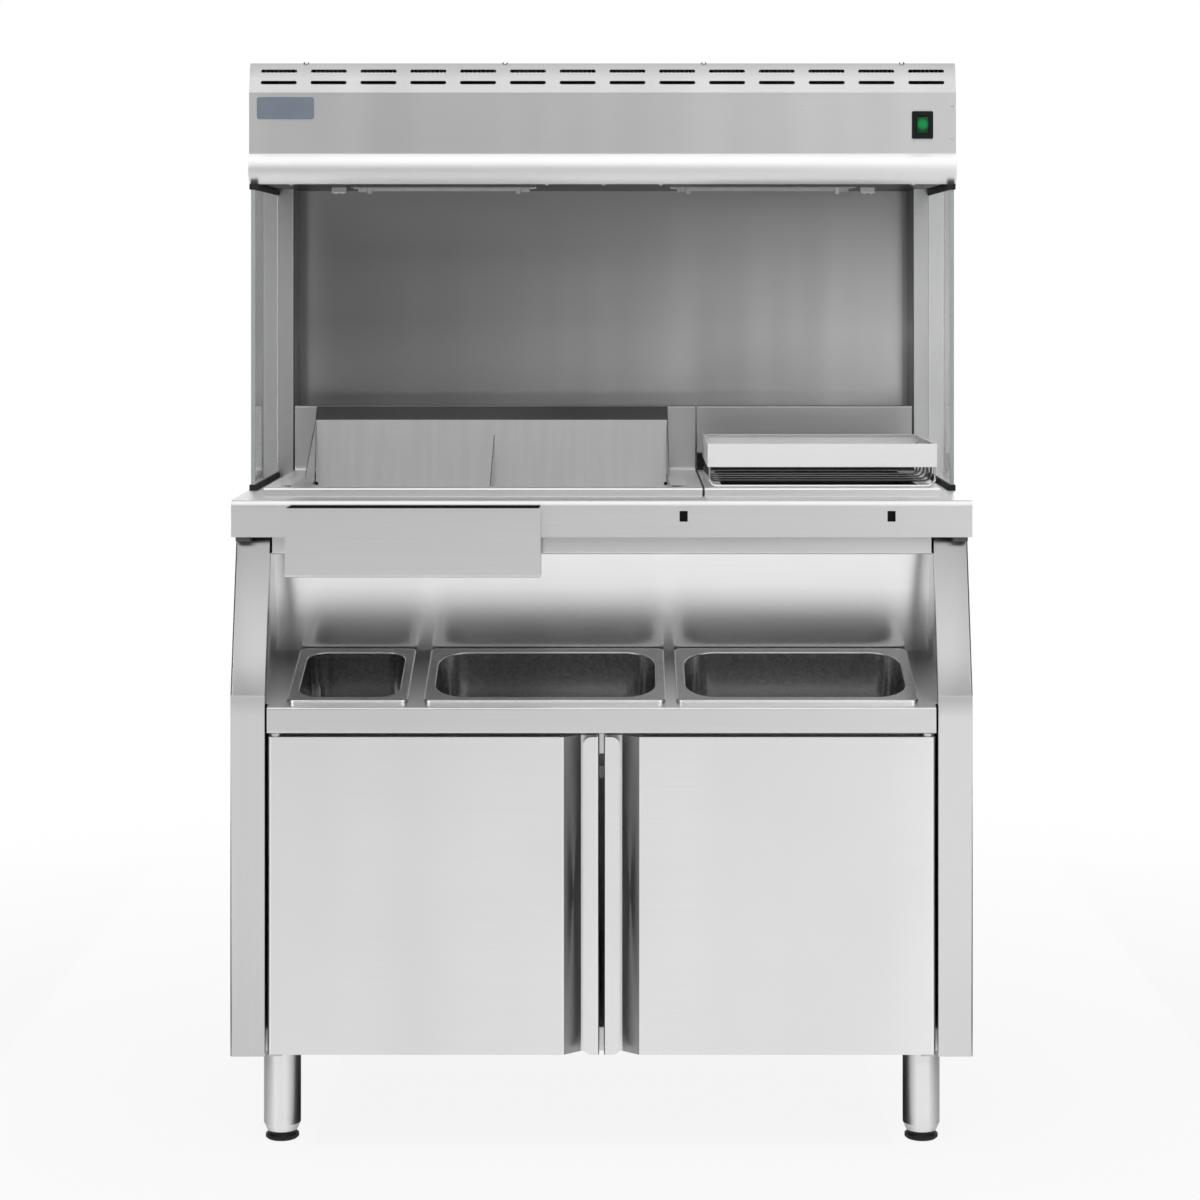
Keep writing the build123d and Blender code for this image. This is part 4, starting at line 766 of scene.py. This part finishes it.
def bridge(builder, rings, closed=False):
    """Joins each ring of corners to the next. An open run gets two end faces, a closed one meets itself."""
    for lower, upper in zip(rings, rings[1:] + rings[:1] if closed else rings[1:]):
        for index, corner in enumerate(lower):
            after = (index + 1) % len(lower)
            builder.faces.new((corner, lower[after], upper[after], upper[index]))
    if not closed:
        builder.faces.new(rings[0][::-1])
        builder.faces.new(rings[-1])


def stood_at(spot, facing):
    """The frame of a thing that stands at a spot and faces one way."""
    return Matrix.Translation(spot) @ Vector(facing).to_track_quat("Z", "X").to_matrix().to_4x4()


def rounded_outline(wide, tall, radius, steps=6):
    points = []
    for corner, (sx, sz) in enumerate(((1, 1), (-1, 1), (-1, -1), (1, -1))):
        for step in range(steps + 1):
            angle = math.radians(90 * corner + 90 * step / steps)
            points.append((sx * (wide / 2 - radius) + radius * math.cos(angle),
                           sz * (tall / 2 - radius) + radius * math.sin(angle)))
    return points


def plates(name, rows, finish, facing=FRONT):
    """Plates with a bevelled edge. A row is a centre, width, height, thickness, corner radius and bevel."""
    builder = bmesh.new()
    for centre, wide, tall, thick, radius, bevel in rows:
        frame_at = stood_at(centre, facing)
        rings = []
        profile = ((0.0, 0.0), (0.0, thick - bevel), (0.35 * bevel, thick - 0.25 * bevel), (bevel, thick))
        for shrink, height in profile:
            outline = rounded_outline(wide - 2 * shrink, tall - 2 * shrink, max(radius - shrink, 1e-4))
            rings.append([builder.verts.new(frame_at @ Vector((u, v, height))) for u, v in outline])
        bridge(builder, rings)
    keep(name, builder, finish, "cabinet")


moulded("blank_plate", (0.30, 0.35, 0.42), (0.24, 0.29, 0.36), (0.30, 0.42), 1600.0, 0.06, coat=0.25)
plates("blank_plate", [((-0.4485, FACE_Y, 1.4056), 0.031, 0.081, 0.0016, 0.004, 0.0006)], "blank_plate")

# %% [markdown]
# ## Ground glass edges and channel ends
# The panes are clear, but their front edges are ground, which leaves them pale and frosted. The rubber
# channels that hold the panes end in small caps at the front.

# %% Glass edges and caps
SET_IN, CAP_RIM = 0.0002, 0.0006
moulded("ground_edge", (0.60, 0.66, 0.64), (0.50, 0.57, 0.55), (0.35, 0.5), 2600.0, 0.15)
for side in ("left", "right"):
    glass_low, glass_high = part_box(f"glass_{side}")
    lower_low, lower_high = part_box(f"glass_channel_lower_{side}")
    upper_low, upper_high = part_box(f"glass_channel_upper_{side}")
    edge_at = ((glass_low.x + glass_high.x) / 2, glass_low.y + SET_IN, (lower_high.z + upper_low.z) / 2)
    plates(f"glass_edge_{side}", [
        (edge_at, upper_low.z - lower_high.z, glass_high.x - glass_low.x, 0.0012, 0.0006, 0.0008)],
        "ground_edge")
    plates(f"channel_caps_{side}", [
        (((low.x + high.x) / 2, low.y + SET_IN, (low.z + high.z) / 2),
         high.z - low.z + CAP_RIM, high.x - low.x + CAP_RIM, 0.0028, 0.0016, 0.0009)
        for low, high in ((lower_low, lower_high), (upper_low, upper_high))],
        "black_plastic")

# %% [markdown]
# ## Heater coils, ceramic ends and terminals
# Each infrared heater has a wound wire inside its tube, a white ceramic end on either side and a plated
# terminal block beyond it. The coil is a helix, which Geometry Nodes give as one curve with a round
# section. The ceramic ends are turned shapes: a profile carried round the tube's axis.

# %% Heater coils
satin_metal("heating_wire", (0.26, 0.16, 0.11, 1), (0.16, 0.10, 0.07, 1), (0.4, 0.6), 80.0, 1200.0, 0.02)
coil_tree, takes = new_geometry_tree("wound_wire", {
    "Length": 0.2, "Radius": 0.0026, "Turns": 40.0, "Wire": 0.0005})
helix = put(coil_tree, "GeometryNodeCurveSpiral", {
    "Resolution": 10, "Rotations": takes["Turns"], "Height": takes["Length"],
    "Start Radius": takes["Radius"], "End Radius": takes["Radius"]})
strand = put(coil_tree, "GeometryNodeCurvePrimitiveCircle", {"Resolution": 6, "Radius": takes["Wire"]})
wound = put(coil_tree, "GeometryNodeCurveToMesh", {
    "Curve": helix.outputs[0], "Profile Curve": strand.outputs[0], "Fill Caps": True})
set_out(coil_tree, takes, wound.outputs[0])
COIL_LENGTH = 0.216
tubes = [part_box(f"heater_tube_{side}") for side in ("left", "right")]
coil_points = [(low + high) / 2 - Vector((COIL_LENGTH / 2, 0, 0)) for low, high in tubes]
grow("heater_coils", coil_tree, coil_points, RIGHT, "heating_wire",
     {"Length": COIL_LENGTH, "Radius": 0.0026, "Turns": 48.0, "Wire": 0.0005}, "cabinet")

# %% Ceramic ends and terminals
CERAMIC_PROFILE = [(-0.003, 0.0044), (-0.003, 0.0052), (-0.002, 0.0056), (0.004, 0.0056), (0.0045, 0.0050),
                   (0.0055, 0.0050), (0.006, 0.0056), (0.009, 0.0056), (0.010, 0.0048), (0.010, 0.0020)]
TURNED_STEPS = 20
moulded("ceramic", (0.78, 0.76, 0.72), (0.66, 0.64, 0.60), (0.40, 0.55), 1800.0, 0.2)
angles = [2 * math.pi * step / TURNED_STEPS for step in range(TURNED_STEPS)]
builder = bmesh.new()
for low, high in tubes:
    middle = (low + high) / 2
    for x, axis in ((low.x, (-1, 0, 0)), (high.x, RIGHT)):
        frame_at = stood_at((x, middle.y, middle.z), axis)
        bridge(builder, [
            [builder.verts.new(frame_at @ Vector((radius * math.cos(a), radius * math.sin(a), along)))
             for a in angles] for along, radius in CERAMIC_PROFILE])
keep("heater_ceramic_ends", builder, "ceramic", "cabinet")

TERMINAL_X, BLOCK_THICK, SCREW_APART = 0.391, 0.0085, 0.0045
heater_y = (tubes[0][0].y + tubes[0][1].y) / 2
under_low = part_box("canopy_underside")[0]
plates("heater_terminal_blocks", [
    ((x, heater_y, under_low.z + SET_IN), 0.018, 0.022, BLOCK_THICK, 0.002, 0.0012)
    for x in (-TERMINAL_X, TERMINAL_X)], "zinc_plate", facing=DOWN)
block_foot = under_low.z + SET_IN - BLOCK_THICK
screws("terminal_screws", [(x + apart, heater_y, block_foot) for x in (-TERMINAL_X, TERMINAL_X)
                           for apart in (-SCREW_APART, SCREW_APART)], DOWN, 0.0026)

# %% [markdown]
# ## Wire gauze behind the vent slots
# Gauze keeps flies and fingers out of the canopy. It is woven from two sets of straight wires, which the
# tree lays out along one line and then the other.

# %% Vent gauze
gauze_tree, takes = new_geometry_tree("vent_gauze", {
    "Length": 0.94, "Height": 0.03, "Pitch": 0.004, "Wire": 0.0005})
strand = put(gauze_tree, "GeometryNodeCurvePrimitiveCircle", {"Resolution": 5, "Radius": takes["Wire"]})
woven = put(gauze_tree, "GeometryNodeJoinGeometry")
for across, along, span, reach in ((X, Y, "Length", "Height"), (Y, X, "Height", "Length")):
    ends = [vector(gauze_tree, {along: maths(gauze_tree, "MULTIPLY", takes[reach], part)})
            for part in (-0.5, 0.5)]
    wire = put(gauze_tree, "GeometryNodeCurvePrimitiveLine", {"Start": ends[0], "End": ends[1]})
    tube = put(gauze_tree, "GeometryNodeCurveToMesh", {
        "Curve": wire.outputs[0], "Profile Curve": strand.outputs[0], "Fill Caps": True})
    gaps = maths(gauze_tree, "DIVIDE", takes[span], takes["Pitch"])
    line = put(gauze_tree, "GeometryNodeMeshLine", {
        "Count": maths(gauze_tree, "ADD", gaps, 1.0),
        "Start Location": vector(gauze_tree, {across: maths(gauze_tree, "MULTIPLY", takes[span], -0.5)}),
        "Offset": vector(gauze_tree, {across: takes["Pitch"]})})
    laid = put(gauze_tree, "GeometryNodeInstanceOnPoints", {
        "Points": line.outputs[0], "Instance": tube.outputs[0]})
    real = put(gauze_tree, "GeometryNodeRealizeInstances", {"Geometry": laid.outputs[0]})
    gauze_tree.links.new(real.outputs[0], woven.inputs[0])
set_out(gauze_tree, takes, woven.outputs[0])
VENT_AT, VENT_LEAN = (0.0, -0.0475, 1.4560), math.atan2(0.010, 0.036)
grow("vent_gauze", gauze_tree, [VENT_AT], (0, -math.cos(VENT_LEAN), math.sin(VENT_LEAN)), "reflector",
     {"Length": 0.98, "Height": 0.012, "Pitch": 0.006, "Wire": 0.0012}, "cabinet")

# %% [markdown]
# ## Grip ribs on the feet
# Each foot is turned by hand to level the station, so its black pad has a ring of small ribs. Every foot is
# its own body, so each ring is a mesh of its own.

# %% Foot ribs
RIB_SIZES, RIB_Z = {"Ring Radius": 0.0217, "Rib Radius": 0.0009, "Rib Height": 0.0045}, 0.0018
rib_tree, takes = new_geometry_tree("foot_ribs", RIB_SIZES)
ring = put(rib_tree, "GeometryNodeMeshCircle", {"Vertices": 30, "Radius": takes["Ring Radius"]})
rib = put(rib_tree, "GeometryNodeMeshCone", {
    "Vertices": 8, "Side Segments": 2, "Depth": takes["Rib Height"],
    "Radius Bottom": takes["Rib Radius"], "Radius Top": takes["Rib Radius"]})
ribs = put(rib_tree, "GeometryNodeInstanceOnPoints", {"Points": ring.outputs[0], "Instance": rib.outputs[0]})
ring_real = put(rib_tree, "GeometryNodeRealizeInstances", {"Geometry": ribs.outputs[0]})
set_out(rib_tree, takes, ring_real.outputs[0])
for corner in ("front_left", "front_right", "rear_left", "rear_right"):
    foot_low, foot_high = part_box(f"foot_{corner}")
    middle = (foot_low + foot_high) / 2
    grow(f"foot_ribs_{corner}", rib_tree, [(middle.x, middle.y, RIB_Z)], UP, "black_plastic", RIB_SIZES,
         f"foot_{corner}")

# %% [markdown]
# ## Painted shade in the tray seam and under the worktop
# A dark bead fills the gap between the two trays, up to the splash behind them, as painted shade for the
# shadowed gap. Under each end of the worktop a pad sits on the side panel, dark as painted shade for the
# shaded bracket there.

# %% Tray gap shade and pads
SPLASH_FRONT, SEAM_OVERLAP, SEAM_DROP = 0.200, 0.0004, 0.008
PAD_X, PAD_BACK, PAD_SINK = 0.4845, 0.0125, 0.0008
# The pads' dark colour is painted shade for the shaded bracket under the worktop.
moulded("shaded_pad", (0.15, 0.15, 0.15), (0.11, 0.11, 0.11), (0.5, 0.7), 900.0, 0.3)
# A dark filler for shaded gaps: painted shade.
moulded("shade_filler", (0.050, 0.050, 0.050), (0.024, 0.024, 0.024), (0.45, 0.62), 500.0, 0.4)
scuttle_low, scuttle_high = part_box("scuttle_well")
rack_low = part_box("rack_well")[0]
seam_at = ((scuttle_high.x + rack_low.x) / 2, (scuttle_low.y + SPLASH_FRONT) / 2, TRAY_TOP - SEAM_DROP)
seam_wide = rack_low.x - scuttle_high.x + 2 * SEAM_OVERLAP
# A dark bead in the gap between the trays: painted shade.
plates("tray_gap_shade", [(seam_at, seam_wide, SPLASH_FRONT - scuttle_low.y, 0.0072, 0.0012, 0.0010)],
       "shade_filler", facing=UP)
worktop_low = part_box("worktop")[0]
# A pad under each end of the worktop, dark as painted shade.
plates("worktop_end_pads", [
    ((x, worktop_low.y + PAD_BACK, worktop_low.z + PAD_SINK), 0.020, 0.020, 0.0070, 0.002, 0.0012)
    for x in (-PAD_X, PAD_X)], "shaded_pad", facing=DOWN)

# %% [markdown]
# ## Rolled edges on the pans
# The rim of a drawn pan is rolled over, and the roll is rubbed bright wherever pans are stacked. A small
# round section is carried round the rim's outline, in the tilted plane of the shelf. Each pan lifts out by
# itself, so each has a bead of its own.

# %% Pan beads
RIM_CORNER, BEAD, BEAD_SINK, BEAD_STEPS = 0.010, 0.0013, 0.3, 8
uphill, square_up = Vector(UPHILL), Vector(SHELF_NORMAL)
for pan in ("pan_small", "pan_middle", "pan_right"):
    pan_low, pan_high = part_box(pan)
    rim_middle = Vector(((pan_low.x + pan_high.x) / 2, pan_low.y + PAN_DEEP / 2 * math.cos(SHELF_TILT),
                         pan_high.z - PAN_DEEP / 2 * math.sin(SHELF_TILT)))
    builder = bmesh.new()
    rings = []
    for step in range(BEAD_STEPS):
        angle = 2 * math.pi * step / BEAD_STEPS
        out, rise = BEAD * math.cos(angle) - BEAD, BEAD * math.sin(angle) - BEAD_SINK * BEAD
        outline = rounded_outline(pan_high.x - pan_low.x + 2 * out, PAN_DEEP + 2 * out, RIM_CORNER + out)
        rings.append([builder.verts.new(rim_middle + Vector((u, 0, 0)) + v * uphill + rise * square_up)
                      for u, v in outline])
    bridge(builder, rings, closed=True)
    keep(f"{pan}_bead", builder, "reflector", pan, smooth=True)

# %% [markdown]
# ## A liner in the hung box
# The hung box has a black plastic liner that stops just below its rim, so the box can be emptied and
# washed. It is a cup: one outline goes up outside and comes down inside, a wall's thickness in.

# %% Box liner
LINER_WALL, LINER_GAP, LINER_CORNER = 0.0010, 0.0018, 0.003
LINER_OFF_FLOOR, LINER_BELOW_RIM = 0.005, 0.0008
box_low, box_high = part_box("hung_box")
liner_x, liner_y = (box_low.x + box_high.x) / 2, (box_low.y + worktop_low.y) / 2
liner_wide, liner_deep = box_high.x - box_low.x - 2 * LINER_GAP, worktop_low.y - box_low.y - 2 * LINER_GAP
liner_foot, liner_top = box_low.z + LINER_OFF_FLOOR, box_high.z - LINER_BELOW_RIM
builder = bmesh.new()
rings = []
cup = ((0, liner_foot), (0, liner_top), (LINER_WALL, liner_top), (LINER_WALL, liner_foot + LINER_WALL))
for inset, z in cup:
    outline = rounded_outline(liner_wide - 2 * inset, liner_deep - 2 * inset, LINER_CORNER - inset)
    rings.append([builder.verts.new((liner_x + u, liner_y + v, z)) for u, v in outline])
bridge(builder, rings)
keep("box_liner", builder, "black_plastic", "hung_box")

# %% [markdown]
# ## Painted shade beside the pan bay
# Behind the lip of each side panel, a dark strip along the bay's side wall is painted shade for the gap
# there. The strip runs straight up from the shelf and then leans back with the flange, so its square section
# is set at three heights and joined up.

# %% Bay shade strips
SIDE_LEAN = math.radians(16.1)
LIP_REAR, BAY_SHADE_FOOT, LEAN_FOOT, BAY_TOP = -0.2757, 0.5955, 0.607, 0.7892
BAY_SHADE_X, BAY_SHADE_BACK = (0.4502, 0.4546), 0.006
section = [(BAY_SHADE_X[0], 0.0), (BAY_SHADE_X[1], 0.0), (BAY_SHADE_X[1], BAY_SHADE_BACK), (BAY_SHADE_X[0], BAY_SHADE_BACK)]
lean_back = (BAY_TOP - LEAN_FOOT) * math.tan(SIDE_LEAN)
run = [(BAY_SHADE_FOOT, LIP_REAR), (LEAN_FOOT, LIP_REAR), (BAY_TOP, LIP_REAR + lean_back)]
builder = bmesh.new()
for side in (-1, 1):
    bridge(builder, [[builder.verts.new((side * x, y + behind, z)) for x, behind in section] for z, y in run])
# Dark strips in the gaps beside the bay: painted shade.
keep("bay_side_shade_strips", builder, "shade_filler", "cabinet")

# %% [markdown]
# ## Painted shade behind the hook holes
# The worktop's front has four holes for the hooks of hung boxes. A black strip behind each is painted
# shade, for the shade inside the hollow.

# %% Hook hole shade strips
HOOK_X, HOOK_Z, STRIP_BACK = (-0.391, -0.1105, 0.1105, 0.391), 0.84325, 0.0165
# Black strips behind the holes: painted shade.
plates("hook_hole_shade_strips", [((x, worktop_low.y + STRIP_BACK, HOOK_Z), 0.024, 0.026, 0.0015, 0.002, 0.0005)
                           for x in HOOK_X], "black_plastic")
